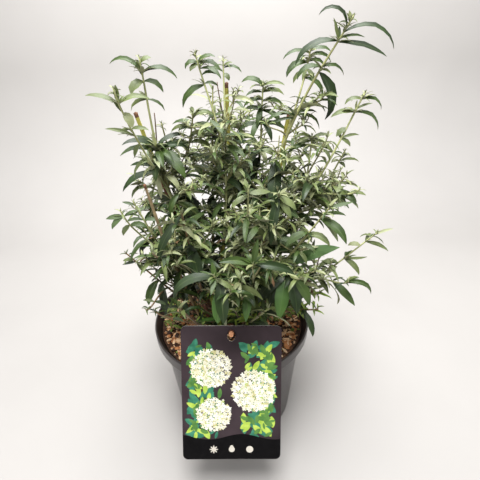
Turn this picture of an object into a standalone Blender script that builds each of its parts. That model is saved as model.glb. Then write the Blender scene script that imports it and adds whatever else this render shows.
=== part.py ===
"""Potted butterfly bush: a young garden shrub in its round nursery pot, with a hanging card.

Metres, +Z up. The origin is the middle of the pot's flat underside, and the card is at the
front, towards -Y. The shrub is one short woody stock, the limbs that fork from it, and a mass
of leafy shoots on each limb. Every shoot and leaf grows by the same seeded rule.
"""
import math
import random

import bmesh
import bpy
import numpy as np
from mathutils import Vector

GAP = 0.0003                   # clearance between pieces that touch

# Pot: a 17 cm nursery pot of thin black plastic with a deep lip
POT_HEIGHT = 0.1335
LIP_RADIUS = 0.0877
LIP_DEPTH = 0.0130
LIP_WALL = 0.0024
BODY_TOP_RADIUS = 0.0800
BASE_RADIUS = 0.0697
POT_WALL = 0.0014
POT_FLOOR = 0.0020
POT_SIDES = 48

# Growing medium: bark compost that fills the pot to just under the lip
MEDIUM_TOP = 0.1165
MEDIUM_CROWN = 0.0020          # how much higher it stands in the middle
MEDIUM_GAP = 0.0004            # clearance to the pot's wall

# Card: a thin plastic card that hangs from a cut stem and leans on the lip
CARD_WIDTH = 0.095
CARD_HEIGHT = 0.135
CARD_THICKNESS = 0.0006
CARD_CORNER = 0.005
CARD_LEAN = math.radians(22.8)
CARD_TURN = math.radians(1.7)
CARD_TOP = 0.1790
HOLE_RADIUS = 0.0038
HOLE_STRAIGHT = 0.0040
HOLE_DROP = 0.0095             # from the card's top edge to the middle of the hole
STUB_RADIUS = 0.0025
STUB_PROUD = 0.0045
CARD_STEM_TURN = 266

# Stock: the woody foot of the shrub, flared at the soil and cut flat there
STOCK_FOOT = Vector((-0.0110, 0.0010, MEDIUM_TOP + MEDIUM_CROWN + GAP))
STOCK_LEAN = Vector((-0.0015, -0.0015))
STOCK_HEIGHT = 0.0330
STOCK_FLARE = 0.0125
STOCK_WAIST = 0.0098
STOCK_HEAD = 0.0104

# Limbs: feet stand in rings, on the stock's head or round its side
HEAD_RING = 0.0072
SIDE_RINGS = {"low": 0.0065, "mid": 0.0155, "high": 0.0250}  # heights above the stock's foot
LIMB_TIP_RADIUS = 0.0016
LIMB_POINTS = 5
LIMB_SIDES = 5
COLLAR = 0.0020                 # straight length where a limb leaves the stock
PRUNED_POINTS = 9
LIMB_END = {"head": 0.27, "high": 0.27, "mid": 0.25, "low": 0.24}  # share that is bare limb
STEM_GAP = 0.00045             # clearance from a limb's tip to the leafy stem that grows on
STEM_POINTS = 6
STEM_START_RADIUS = 0.0017
STEM_END_RADIUS = 0.0009
SIDE_STEM_SHARE = 0.85         # radius of a side shoot at its foot, for the main one's

# Leaves: opposite pairs, lance-shaped, drooping towards their tips
LEAF_MIDDLE = 0.44             # where a leaf is widest
LEAF_THICKNESS = 0.035         # share of its length
LEAF_SUNK = 0.45               # how far its root reaches behind the twig's middle, in twig radii
CLEARANCE = 0.0003             # least air between the balls that stand for two masses
OWN_OVERLAP = -0.0020          # how far the balls of one mass may run into each other
REACH_MARGIN = 0.0060          # how far beyond a new piece the test looks for others
OWN_ROOT = 0.30                # share of a leaf's length round its root where its mass may touch it

# Room that the leaves leave free round the pot and the card
RIM_INSIDE = 0.010             # from the lip's outside inwards, still over the lip
RIM_OUTSIDE = 0.004
RIM_ABOVE = 0.004
MEDIUM_ABOVE = 0.008
LOWEST_LEAF = 0.135            # beyond the rim, leaves hang no lower
CARD_BESIDE = 0.006
CARD_BEFORE = 0.005

# A shoot: where its foot stands (ring, turn in degrees), a point half way up, its tip, and its
# side shoots as (share of the leafy stem, tip)
SHOOTS = {
    "leader": ("head", 20, 0.0026, (0.061, 0.010, 0.341), (0.111, 0.020, 0.428),
               [(0.42, (0.082, 0.046, 0.404))]),
    "centre": ("head", 68, 0.0021, (0.030, 0.032, 0.282), (0.039, 0.045, 0.376), []),
    "back_top": ("head", 156, 0.0021, (-0.016, 0.066, 0.282), (-0.012, 0.098, 0.366),
                 [(0.42, (0.030, 0.110, 0.345))]),
    "left_centre": ("head", 258, 0.0021, (-0.008, 0.002, 0.305), (-0.022, 0.022, 0.406),
                    [(0.34, (0.002, 0.046, 0.398))]),
    "far_left": ("head", 202, 0.0026, (-0.056, 0.004, 0.300), (-0.068, 0.000, 0.407),
                 [(0.26, (-0.080, -0.030, 0.384))]),
    "right_top": ("head", 328, 0.0024, (0.080, -0.008, 0.288), (0.122, 0.000, 0.371),
                  [(0.42, (0.126, -0.034, 0.300))]),
    "left_upper": ("high", 150, 0.0022, (-0.046, 0.030, 0.258), (-0.058, 0.026, 0.346),
                   [(0.48, (-0.026, 0.008, 0.357))]),
    "left_mid": ("mid", 205, 0.0022, (-0.062, -0.022, 0.236), (-0.083, -0.032, 0.300),
                 [(0.41, (-0.084, -0.056, 0.294))]),
    "left_low": ("low", 198, 0.0022, (-0.056, -0.026, 0.186), (-0.096, -0.032, 0.240),
                 [(0.50, (-0.078, -0.060, 0.194))]),
    "right_mid": ("high", 356, 0.0022, (0.078, 0.012, 0.245), (0.114, 0.012, 0.318),
                  [(0.52, (0.124, 0.040, 0.280))]),
    "right_front": ("mid", 330, 0.0022, (0.050, -0.040, 0.226), (0.088, -0.052, 0.290),
                    [(0.39, (0.062, -0.080, 0.240))]),
    "right_low": ("low", 352, 0.0022, (0.082, -0.016, 0.186), (0.146, -0.018, 0.246),
                  [(0.47, (0.112, -0.052, 0.214))]),
    "low_front_left": ("low", 252, 0.0020, (-0.030, -0.046, 0.160), (-0.044, -0.074, 0.206),
                       [(0.35, (-0.072, -0.056, 0.190))]),
    "low_front_right": ("low", 292, 0.0020, (0.016, -0.044, 0.158), (0.036, -0.076, 0.204), []),
    "rim_right": ("low", 322, 0.0020, (0.052, -0.030, 0.160), (0.088, -0.046, 0.176), []),
    "front_top": ("high", 305, 0.0021, (0.016, -0.040, 0.250), (0.020, -0.068, 0.314),
                  [(0.44, (0.046, -0.046, 0.300))]),
    "front_low": ("mid", 298, 0.0021, (0.020, -0.056, 0.210), (0.022, -0.092, 0.262),
                  [(0.43, (-0.010, -0.092, 0.246))]),
    "left_front": ("mid", 236, 0.0021, (-0.030, -0.040, 0.224), (-0.034, -0.062, 0.294),
                   [(0.43, (-0.060, -0.070, 0.262))]),
    "back_left": ("mid", 130, 0.0022, (-0.064, 0.062, 0.234), (-0.082, 0.088, 0.318),
                  [(0.46, (-0.108, 0.056, 0.280))]),
    "back_right": ("mid", 42, 0.0022, (0.056, 0.062, 0.240), (0.080, 0.094, 0.322),
                   [(0.46, (0.106, 0.076, 0.276))]),
    "back_low_left": ("low", 112, 0.0021, (-0.044, 0.072, 0.182), (-0.066, 0.122, 0.226),
                      [(0.47, (-0.104, 0.086, 0.204))]),
    "back_low_right": ("low", 62, 0.0021, (0.034, 0.078, 0.184), (0.050, 0.130, 0.232),
                       [(0.47, (0.094, 0.104, 0.206))]),
}

# Limbs cut back last year: foot, foot radius, half-way point, cut end, radius at the cut
PRUNED = {
    "pruned_back_left": ("head", 112, 0.0023, (0.002, 0.050, 0.262), (0.004, 0.056, 0.376), 0.0019),
    "pruned_back_right": ("high", 26, 0.0024, (0.046, 0.026, 0.262), (0.063, 0.034, 0.350), 0.0020),
    "pruned_left": ("high", 186, 0.0022, (-0.056, 0.018, 0.262), (-0.078, 0.015, 0.358), 0.0018),
    "pruned_low_left": ("low", 226, 0.0021, (-0.048, -0.040, 0.226), (-0.063, -0.050, 0.314), 0.0014),
}

# Leaves placed one by one, where they draw the outline: shoot, stem (0 is the main one), share
# of the stem, heading, pitch at the root and at the tip in degrees, length and width in mm
SET_LEAVES = [
    ("leader", 0, 0.57, 262, 10, -85, 41, 10), ("leader", 0, 0.56, 178, 10, -50, 20, 6),
    ("leader", 0, 0.57, 10, 10, -20, 20, 5), ("leader", 0, 0.78, 182, 25, -62, 42, 7),
    ("leader", 0, 0.78, 2, 10, -30, 36, 6), ("leader", 0, 0.89, 176, 62, 20, 26, 6),
    ("leader", 0, 0.89, 2, 26, -62, 45, 8), ("leader", 0, 0.985, 176, 62, 22, 25, 6),
    ("right_top", 0, 0.93, 0, 42, -72, 24, 5), ("right_top", 0, 0.93, 178, 45, -62, 18, 6),
    ("right_top", 0, 0.75, 352, 18, -80, 31, 6), ("right_top", 0, 0.75, 176, 35, -45, 22, 6),
    ("right_top", 0, 0.52, 2, 42, -35, 24, 5), ("right_top", 0, 0.52, 8, 0, -70, 17, 5),
    ("far_left", 0, 0.84, 180, 42, -35, 31, 7), ("far_left", 0, 0.84, 356, 40, -75, 28, 7),
    ("far_left", 0, 0.75, 190, 8, -82, 21, 11), ("far_left", 0, 0.75, 2, 12, -84, 20, 6),
    ("far_left", 0, 0.54, 186, 30, -78, 24, 6), ("far_left", 0, 0.54, 0, 12, -80, 20, 5),
    ("far_left", 1, 0.62, 178, 40, -28, 31, 7), ("far_left", 1, 0.62, 358, 30, -48, 29, 8),
    ("far_left", 1, 0.50, 340, -25, -84, 18, 10), ("far_left", 1, 0.25, 180, 12, -12, 30, 5),
    ("left_centre", 0, 0.91, 180, 35, -80, 20, 6), ("left_centre", 0, 0.89, 0, 30, -30, 19, 5),
    ("left_centre", 0, 0.76, 184, 18, -85, 29, 8), ("left_centre", 1, 0.72, 0, 18, -42, 18, 5),
    ("left_upper", 0, 0.70, 182, 18, -20, 34, 8), ("left_upper", 0, 0.70, 358, 24, -38, 32, 7),
    ("left_upper", 1, 0.80, 182, 10, -42, 22, 6), ("left_mid", 0, 0.85, 182, 20, 4, 20, 5),
    ("left_mid", 1, 0.70, 188, 22, -28, 24, 9), ("left_mid", 1, 0.50, 200, 0, -84, 24, 7),
    ("left_low", 0, 0.89, 185, 22, -40, 24, 6), ("left_low", 1, 0.70, 200, -20, -84, 30, 8),
    ("left_low", 1, 0.70, 250, -40, -86, 36, 8), ("right_mid", 0, 0.79, 356, 20, -42, 30, 5),
    ("right_mid", 0, 0.78, 340, -5, -60, 14, 6), ("right_low", 0, 0.73, 350, 5, -30, 34, 6),
    ("right_low", 0, 0.91, 8, 38, 2, 28, 5), ("right_low", 1, 0.85, 330, 5, -80, 32, 8),
    ("right_low", 1, 0.60, 300, -15, -80, 32, 10), ("right_front", 0, 0.67, 320, -10, -80, 34, 8),
    ("right_front", 1, 0.75, 260, -30, -86, 44, 14), ("right_front", 1, 0.75, 320, -30, -84, 40, 12),
    ("front_low", 0, 0.85, 182, 20, -12, 30, 8), ("front_low", 0, 0.85, 345, 15, -42, 34, 9),
    ("front_low", 1, 0.70, 250, -30, -86, 40, 14), ("front_top", 0, 0.84, 184, 12, -14, 34, 7),
    ("front_top", 0, 0.84, 358, 14, -14, 22, 6), ("rim_right", 0, 0.80, 300, -20, -86, 30, 7),
    ("centre", 0, 0.79, 182, 40, -20, 20, 6), ("centre", 0, 0.79, 4, 20, -15, 22, 6),
]

# Growth by rule, each pair of numbers for the foot and the tip of a stem
PAIR_SPACING = (0.0270, 0.0135)
PAIR_STAGGER = 0.0016          # how much higher the second leaf of a pair stands
FIRST_PAIR = 0.012             # up the stem
LEAF_LENGTH = (0.055, 0.024)
LEAF_SLENDERNESS = (0.33, 0.25)   # width for length
TIP_SHARE = 0.96               # where the last pair stands
TIP_LEAF = 0.70                # its length, for the leaves just below
TIP_PITCHES = (68, 15)         # degrees at the root and the tip
TRIES = 4                      # headings tried for a leaf, each with a shorter blade
SHORTER = 0.13

# Side twigs by rule, from the axils of a stem's lower part
TWIG_PLACES = (0.10, 0.75)     # shares of the stem
TWIG_SPACING = 0.026
TWIG_CHANCE = 0.22
TWIG_LENGTH = (0.026, 0.044)
TWIG_RISE = (0.10, 0.75)
TWIG_POINTS = 4
TWIG_SHARE = 0.75              # radius at its foot, for the stem's foot
TWIG_FIRST_PAIR = 0.42         # share of the twig
TWIG_LEAF_SCALE = 0.80
TWIG_ROOT = 0.006              # a twig may touch its mass within this of its root
SEED = 11


def unit(vector):
    """The vector at length one."""
    return vector / np.linalg.norm(vector)


def heading_vector(heading, pitch):
    """A unit vector from a compass heading (0 is +X, 90 is +Y) and a pitch, in radians."""
    flat = math.cos(pitch)
    return np.array([flat * math.cos(heading), flat * math.sin(heading), math.sin(pitch)])


def stock_axis(height):
    """The middle of the stock at a height above its foot: it leans between two upright ends."""
    share = height / STOCK_HEIGHT
    lean = STOCK_LEAN * (share * share * (3 - 2 * share))
    return np.array([STOCK_FOOT.x + lean.x, STOCK_FOOT.y + lean.y, STOCK_FOOT.z + height])


def stock_radius(height):
    """The stock's radius: a flare that dies away upwards, and a slightly swollen head."""
    share = height / STOCK_HEIGHT
    flare = (STOCK_FLARE - STOCK_WAIST) * math.exp(-6.0 * share)
    return STOCK_WAIST + flare + (STOCK_HEAD - STOCK_WAIST) * share ** 3


def limb_foot(ring, turn, radius):
    """Where a limb starts on the stock, and the direction in which it leaves."""
    around = np.array([math.cos(turn), math.sin(turn), 0.0])
    if ring == "head":
        start = stock_axis(STOCK_HEIGHT) + HEAD_RING * around + np.array([0, 0, GAP])
        return start, np.array([0.0, 0.0, 1.0])
    height = SIDE_RINGS[ring]
    start = stock_axis(height) + (stock_radius(height - radius) + GAP) * around
    return start, around


def hermite(a, b, slope_a, slope_b, t):
    """The cubic from a to b with the two end slopes, at shares t."""
    t = np.asarray(t)[:, None]
    return ((2 * t**3 - 3 * t**2 + 1) * a + (t**3 - 2 * t**2 + t) * slope_a
            + (3 * t**2 - 2 * t**3) * b + (t**3 - t**2) * slope_b)


def shoot_path(foot, out, middle, tip, shares):
    """A smooth path from the foot through the half-way point to the tip, at shares 0 to 1."""
    foot, middle, tip = (np.asarray(p, float) for p in (foot, middle, tip))
    shares = np.asarray(shares, float)
    through = (tip - foot) * 0.5
    lower = hermite(foot, middle, out * 0.55 * np.linalg.norm(middle - foot), through,
                    np.clip(shares * 2, 0, 1))
    upper = hermite(middle, tip, through, (tip - middle) * 0.9, np.clip(shares * 2 - 1, 0, 1))
    return np.where((shares < 0.5)[:, None], lower, upper)


def side_path(start, along, tip, shares):
    """A side shoot: it leaves along its stem's direction and bends out to its tip."""
    reach = np.linalg.norm(tip - start)
    bend = unit(tip - start) * 0.5 + np.array([0, 0, 0.7])
    leave = unit(0.5 * unit(along) + unit(tip - start)) * reach
    return hermite(start, tip, leave, unit(bend) * reach * 0.8, np.asarray(shares, float))


def with_collar(points, radii, foot, out):
    """A limb's points and radii with a short straight collar, square to the stock, at its foot."""
    points = np.vstack([[foot, foot + out * COLLAR], points[1:]])
    return points, np.concatenate([[radii[0], radii[0]], radii[1:]])


class Stem:
    """A path with its length measured, so that places on it can be named by share."""

    def __init__(self, points, radii):
        self.points = np.asarray(points)
        self.radii = np.asarray(radii)
        steps = np.linalg.norm(np.diff(self.points, axis=0), axis=1)
        self.reach = np.concatenate([[0], np.cumsum(steps)])
        self.length = float(self.reach[-1])

    def at(self, share):
        """The place at a share of the length."""
        return np.array([np.interp(share * self.length, self.reach, self.points[:, i])
                         for i in range(3)])

    def along(self, share):
        """The direction there."""
        return unit(self.at(min(share + 0.04, 1.0)) - self.at(max(share - 0.04, 0.0)))

    def samples(self, step=0.003):
        """Balls that cover the stem, for the clearance test: middles and radii."""
        count = max(2, int(self.length / step) + 1)
        at = np.linspace(0, 1, count)
        middles = np.array([self.at(s) for s in at])
        return middles, np.interp(at * self.length, self.reach, self.radii) + step / 3


class Leaf:
    """A lance-shaped blade that leaves its stem at one pitch and ends at another."""

    def __init__(self, stem, share, heading, pitches, length, width, roll=0.0):
        self.root, self.length, self.width = stem.at(share), length, width
        self.sunk = LEAF_SUNK * float(np.interp(share * stem.length, stem.reach, stem.radii))
        self.first = heading_vector(heading, pitches[0] * 0.75 + pitches[1] * 0.25)
        self.last = heading_vector(heading, pitches[0] * 0.15 + pitches[1] * 0.85)
        self.middle = self.root + self.first * length * LEAF_MIDDLE
        self.tip = self.middle + self.last * length * (1 - LEAF_MIDDLE)
        level = np.array([-math.sin(heading), math.cos(heading), 0.0])
        chord = unit(self.tip - self.root)
        normal = np.cross(chord, level)
        self.across = math.cos(roll) * level + math.sin(roll) * normal
        self.normal = np.cross(chord, self.across)

    def samples(self):
        """Balls over the blade, past its root."""
        shares = np.linspace(0.2, 1.0, 9)
        rise = np.clip(shares / LEAF_MIDDLE, 0, 1)[:, None]
        rest = np.clip((shares - LEAF_MIDDLE) / (1 - LEAF_MIDDLE), 0, 1)[:, None]
        spine = self.root + (self.middle - self.root) * rise + (self.tip - self.middle) * rest
        half = self.across * (rise - rest) * self.width / 2
        rows = np.concatenate([spine + half * side for side in (-1, -0.5, 0, 0.5, 1)])
        return rows, np.full(len(rows), self.length * 0.055)


class Room:
    """What already stands in the crown, as balls, so that nothing new grows into it."""

    def __init__(self):
        self.balls = np.zeros((0, 4))
        self.owners = np.zeros(0, dtype=object)

    def add(self, owner, middles, radii):
        """Takes the room of a new piece."""
        self.balls = np.vstack([self.balls, np.column_stack([middles, radii])])
        self.owners = np.concatenate([self.owners, np.full(len(radii), owner, dtype=object)])

    def free(self, owner, middles, radii, root, own_clear):
        """True where the balls clear other pieces, and their own mass away from the root."""
        if not clear_of_pot(middles):
            return False
        centre = middles.mean(axis=0)
        reach = np.linalg.norm(middles - centre, axis=1).max() + radii.max() + REACH_MARGIN
        near = np.linalg.norm(self.balls[:, :3] - centre, axis=1) < reach
        balls, own = self.balls[near], self.owners[near] == owner
        gaps = np.linalg.norm(middles[:, None] - balls[None, :, :3], axis=2)
        gaps -= balls[None, :, 3] + radii[:, None]
        if (gaps[:, ~own] < CLEARANCE).any():
            return False
        away = np.linalg.norm(balls[:, :3] - root, axis=1) > own_clear
        return not (gaps[:, own & away] < OWN_OVERLAP).any()


def clear_of_pot(points):
    """True where points stay off the pot's lip, the growing medium and the card."""
    distance = np.hypot(points[:, 0], points[:, 1])
    height = points[:, 2]
    inside = distance < LIP_RADIUS - RIM_INSIDE
    outside = distance >= LIP_RADIUS + RIM_OUTSIDE
    lowest = np.where(inside, MEDIUM_TOP + MEDIUM_ABOVE, POT_HEIGHT + RIM_ABOVE)
    if (height < np.where(outside, LOWEST_LEAF, lowest)).any():
        return False
    place = np.abs((points - card_middle()) @ card_axes().T)
    beside = (place[:, 0] < CARD_WIDTH / 2 + CARD_BESIDE) & (place[:, 1] < CARD_HEIGHT / 2 + CARD_BESIDE)
    return not (beside & (place[:, 2] < CARD_BEFORE)).any()


def card_axes():
    """The card's own axes as rows: across, up along the card, and out of its face."""
    lean, turn = CARD_LEAN, CARD_TURN
    across, up = np.array([1.0, 0, 0]), np.array([0, math.sin(lean), math.cos(lean)])
    turned = math.cos(turn) * across - math.sin(turn) * up
    risen = math.sin(turn) * across + math.cos(turn) * up
    return np.array([turned, risen, np.cross(turned, risen)])


def card_middle():
    """The middle of the card, whose back lies a gap from the lip's front edge."""
    axes = card_axes()
    contact = np.array([0.0, -LIP_RADIUS, POT_HEIGHT])
    up_card = (CARD_TOP - POT_HEIGHT) / math.cos(CARD_LEAN) - CARD_HEIGHT / 2
    return contact + axes[2] * (GAP + CARD_THICKNESS / 2) + axes[1] * up_card


def hole_middle():
    """The middle of the card's hole, in the world."""
    return card_middle() + card_axes()[1] * (CARD_HEIGHT / 2 - HOLE_DROP)


def new_collection(name):
    """An empty collection in the scene."""
    collection = bpy.data.collections.new(name)
    bpy.context.scene.collection.children.link(collection)
    return collection


def new_material(name, colour, roughness, coat=0.0):
    """A plain principled material."""
    material = bpy.data.materials.new(name)
    material.use_nodes = True
    shader = material.node_tree.nodes["Principled BSDF"]
    shader.inputs["Base Color"].default_value = (*colour, 1)
    shader.inputs["Roughness"].default_value = roughness
    shader.inputs["Coat Weight"].default_value = coat
    material.diffuse_color = (*colour, 1)
    return material


def add_object(name, data, collection, material=None):
    """An object for the data, in a collection."""
    thing = bpy.data.objects.new(name, data)
    collection.objects.link(thing)
    if material is not None:
        data.materials.append(material)
    return thing


def section_curve(sides):
    """A closed ring of unit radius, which a path carries along as its section."""
    curve = bpy.data.curves.new("section_%d" % sides, "CURVE")
    curve.dimensions = "2D"
    spline = curve.splines.new("POLY")
    spline.points.add(sides - 1)
    for i, point in enumerate(spline.points):
        turn = 2 * math.pi * i / sides
        point.co = (math.cos(turn), math.sin(turn), 0, 1)
    spline.use_cyclic_u = True
    guide = add_object("section_%d" % sides, curve, helpers)
    guide.hide_render = True
    guide.display_type = "WIRE"
    return guide


def tube_object(name, points, radii, sides, collection, material=None):
    """A tapering limb or twig with closed ends, as a mesh object."""
    curve = bpy.data.curves.new(name, "CURVE")
    curve.dimensions = "3D"
    curve.bevel_mode = "OBJECT"
    curve.bevel_object = sections[sides]
    curve.use_fill_caps = True
    spline = curve.splines.new("POLY")
    spline.points.add(len(points) - 1)
    for point, place, radius in zip(spline.points, points, radii):
        point.co = (*place, 1)
        point.radius = radius
    path = add_object(name + "_path", curve, helpers)
    bpy.context.view_layer.update()
    shape = path.evaluated_get(bpy.context.evaluated_depsgraph_get())
    mesh = bpy.data.meshes.new_from_object(shape)
    bpy.data.objects.remove(path)
    bm = bmesh.new()
    bm.from_mesh(mesh)
    bmesh.ops.remove_doubles(bm, verts=bm.verts, dist=1e-6)
    bmesh.ops.recalc_face_normals(bm, faces=bm.faces)
    bm.to_mesh(mesh)
    bm.free()
    return add_object(name, mesh, collection, material)


def leaf_object(name, leaf, collection):
    """A leaf of eight faces: a four-sided sphere drawn out to root, edges, faces and tip."""
    bm = bmesh.new()
    bmesh.ops.create_uvsphere(bm, u_segments=4, v_segments=2, radius=1.0)
    thick = leaf.length * LEAF_THICKNESS / 2
    root = leaf.root - leaf.first * leaf.sunk
    for vertex in bm.verts:
        x, y, z = vertex.co
        if z < -0.5:
            vertex.co = root
        elif z > 0.5:
            vertex.co = leaf.tip
        else:
            vertex.co = leaf.middle + leaf.across * (x * leaf.width / 2) + leaf.normal * (y * thick)
    bmesh.ops.recalc_face_normals(bm, faces=bm.faces)
    mesh = bpy.data.meshes.new(name)
    bm.to_mesh(mesh)
    bm.free()
    return add_object(name, mesh, collection)


def turned_object(name, profile, sides, material):
    """A turned piece: the profile's points (radius, height) carried round the axis."""
    mesh = bpy.data.meshes.new(name)
    mesh.from_pydata([(r, 0, z) for r, z in profile], [(i, i + 1) for i in range(len(profile) - 1)], [])
    thing = add_object(name, mesh, bush, material)
    screw = thing.modifiers.new("Turn", "SCREW")
    screw.steps = screw.render_steps = sides
    screw.use_merge_vertices = True
    screw.merge_threshold = 1e-5
    screw.use_smooth_shade = True
    return thing


def make_pot():
    """The pot: a thin tapering wall with a deep lip standing out from it, and a flat floor."""
    lip_foot = POT_HEIGHT - LIP_DEPTH
    profile = [
        (0.0, POT_FLOOR), (BASE_RADIUS - POT_WALL, POT_FLOOR),
        (BODY_TOP_RADIUS - POT_WALL, lip_foot), (LIP_RADIUS - LIP_WALL, POT_HEIGHT - 0.0025),
        (LIP_RADIUS - LIP_WALL + 0.0005, POT_HEIGHT), (LIP_RADIUS - 0.0006, POT_HEIGHT),
        (LIP_RADIUS, POT_HEIGHT - 0.0006), (LIP_RADIUS - 0.0004, lip_foot + 0.0005),
        (LIP_RADIUS - 0.0012, lip_foot), (BODY_TOP_RADIUS, lip_foot),
        (BASE_RADIUS, 0.0035), (BASE_RADIUS - 0.0020, 0.0), (0.0, 0.0),
    ]
    return turned_object("pot", profile, POT_SIDES, plastic_black)


def make_medium():
    """The bark growing medium: a plug inside the pot, slightly crowned in the middle."""
    def wall(z):
        inner_foot, inner_top = BASE_RADIUS - POT_WALL, BODY_TOP_RADIUS - POT_WALL
        rise = (z - POT_FLOOR) / (POT_HEIGHT - LIP_DEPTH - POT_FLOOR)
        return inner_foot + (inner_top - inner_foot) * rise - MEDIUM_GAP
    floor = POT_FLOOR + GAP
    crown = MEDIUM_TOP + MEDIUM_CROWN
    profile = [(0.0, crown), (0.030, crown), (0.055, MEDIUM_TOP + 0.0005), (wall(MEDIUM_TOP), MEDIUM_TOP),
               (wall(floor), floor), (0.0, floor)]
    return turned_object("growing_medium", profile, POT_SIDES, bark_chips)


def rounded_outline(width, height, radius, steps):
    """Points round a rectangle with round corners, anticlockwise."""
    points = []
    for corner in range(4):
        sx, sy = ((1, 1), (-1, 1), (-1, -1), (1, -1))[corner]
        for i in range(steps + 1):
            turn = math.pi / 2 * (corner + i / steps)
            points.append((sx * (width / 2 - radius) + radius * math.cos(turn),
                           sy * (height / 2 - radius) + radius * math.sin(turn)))
    return points


def make_card():
    """The card: a flat outline with round corners and an upright oval hole near its top."""
    curve = bpy.data.curves.new("card", "CURVE")
    curve.dimensions = "2D"
    curve.fill_mode = "BOTH"
    curve.extrude = CARD_THICKNESS / 2
    hole = rounded_outline(2 * HOLE_RADIUS, 2 * HOLE_RADIUS + HOLE_STRAIGHT, HOLE_RADIUS, 4)
    hole = [(x, y + CARD_HEIGHT / 2 - HOLE_DROP) for x, y in hole]
    for outline in (rounded_outline(CARD_WIDTH, CARD_HEIGHT, CARD_CORNER, 5), hole):
        spline = curve.splines.new("POLY")
        spline.points.add(len(outline) - 1)
        for point, (x, y) in zip(spline.points, outline):
            point.co = (x, y, 0, 1)
        spline.use_cyclic_u = True
    path = add_object("card_path", curve, helpers)
    bpy.context.view_layer.update()
    mesh = bpy.data.meshes.new_from_object(path.evaluated_get(bpy.context.evaluated_depsgraph_get()))
    bpy.data.objects.remove(path)
    bm = bmesh.new()
    bm.from_mesh(mesh)
    bmesh.ops.remove_doubles(bm, verts=bm.verts, dist=1e-6)
    bmesh.ops.dissolve_degenerate(bm, edges=bm.edges, dist=1e-6)
    bmesh.ops.recalc_face_normals(bm, faces=bm.faces)
    axes, middle = card_axes(), card_middle()
    for vertex in bm.verts:
        vertex.co = middle + np.array(vertex.co) @ axes
    bm.to_mesh(mesh)
    bm.free()
    return add_object("card", mesh, bush, card_plastic)


def make_stock():
    """The woody stock, from its flat cut at the soil to the flat head that the limbs leave."""
    heights = np.linspace(0, STOCK_HEIGHT, 8)
    points = [stock_axis(h) for h in heights]
    radii = [stock_radius(h) for h in heights]
    return tube_object("stock", points, radii, 12, bush, old_bark)


def make_card_stem():
    """The cut stem that the card hangs on: out of the stock, up and through the hole."""
    axes = card_axes()
    rest = hole_middle() + axes[1] * (HOLE_STRAIGHT / 2 + HOLE_RADIUS - STUB_RADIUS - 2 * GAP)
    end = rest + axes[2] * STUB_PROUD
    start, out = limb_foot("mid", math.radians(CARD_STEM_TURN), STUB_RADIUS)
    share = np.linspace(0, 1, LIMB_POINTS)
    points = hermite(start, rest - axes[2] * 0.010, out * 0.05, axes[2] * 0.05, share)
    points = np.vstack([points, rest, end])
    radii = np.full(len(points), STUB_RADIUS)
    points, radii = with_collar(points, radii, start, out)
    room.add("card_stem", *Stem(points, radii).samples())
    return tube_object("card_stem", points, radii, 8, bush, young_bark)


def plan_limbs():
    """Every limb's path, and the leafy stems that grow on from it, before any leaf."""
    plans = {}
    for name, (ring, turn, radius, middle, tip, sides) in SHOOTS.items():
        foot, out = limb_foot(ring, math.radians(turn), radius)
        limb_end = LIMB_END[ring]
        points = shoot_path(foot, out, middle, tip, np.linspace(0, limb_end, LIMB_POINTS))
        radii = np.linspace(radius, LIMB_TIP_RADIUS, LIMB_POINTS)
        limb = Stem(*with_collar(points, radii, foot, out))
        shares = np.linspace(limb_end, 1, STEM_POINTS + 2)
        path = shoot_path(foot, out, middle, tip, shares)
        path[0] = limb.points[-1] + unit(path[1] - limb.points[-1]) * STEM_GAP
        radii = np.linspace(STEM_START_RADIUS, STEM_END_RADIUS, len(path))
        stems = [Stem(path, radii)]
        for share, side_tip in sides:
            start, along = stems[0].at(share), stems[0].along(share)
            points = side_path(start, along, np.array(side_tip), np.linspace(0, 1, STEM_POINTS))
            side_radius = STEM_START_RADIUS * SIDE_STEM_SHARE
            stems.append(Stem(points, np.linspace(side_radius, STEM_END_RADIUS, STEM_POINTS)))
        plans[name] = {"limb": limb, "stems": stems, "leaves": [], "twigs": []}
        room.add(name + "_limb", *limb.samples())
        for stem in stems:
            room.add(name, *stem.samples())
    for name, (ring, turn, radius, middle, end, end_radius) in PRUNED.items():
        foot, out = limb_foot(ring, math.radians(turn), radius)
        points = shoot_path(foot, out, middle, end, np.linspace(0, 1, PRUNED_POINTS))
        limb = Stem(*with_collar(points, np.linspace(radius, end_radius, PRUNED_POINTS), foot, out))
        plans[name] = {"limb": limb, "stems": [], "leaves": [], "twigs": []}
        room.add(name, *limb.samples())
    return plans


def try_leaf(name, plan, leaf):
    """Keeps the leaf where it has room."""
    middles, radii = leaf.samples()
    if not room.free(name, middles, radii, leaf.root, leaf.length * OWN_ROOT):
        return False
    plan["leaves"].append(leaf)
    room.add(name, middles, radii)
    return True


def set_leaves(plans):
    """The leaves that draw the outline, which take their room first."""
    for name, stem, share, heading, start, end, length, width in SET_LEAVES:
        stem = plans[name]["stems"][stem]
        pitches = (math.radians(start), math.radians(end))
        leaf = Leaf(stem, share, math.radians(heading), pitches, length / 1000, width / 1000)
        try_leaf(name, plans[name], leaf)


def grow_pair(name, plan, stem, share, turn, length, rng):
    """Two opposite leaves at one node; each tries a few headings and a shorter blade."""
    for side in (0, math.pi):
        for attempt in range(TRIES):
            size = length * (1 - SHORTER * attempt) * rng.uniform(0.88, 1.1)
            heading = turn + side + rng.uniform(-0.35, 0.35) * (1 + attempt)
            pitches = (math.radians(rng.uniform(0, 25) + 22 * share),
                       math.radians(rng.uniform(-88, -55) + 45 * share))
            width = size * float(np.interp(share, (0, 1), LEAF_SLENDERNESS))
            roll = rng.uniform(-0.35, 0.35)
            node = share + (PAIR_STAGGER / stem.length if side else 0)
            if try_leaf(name, plan, Leaf(stem, node, heading, pitches, size, width, roll)):
                break


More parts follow.
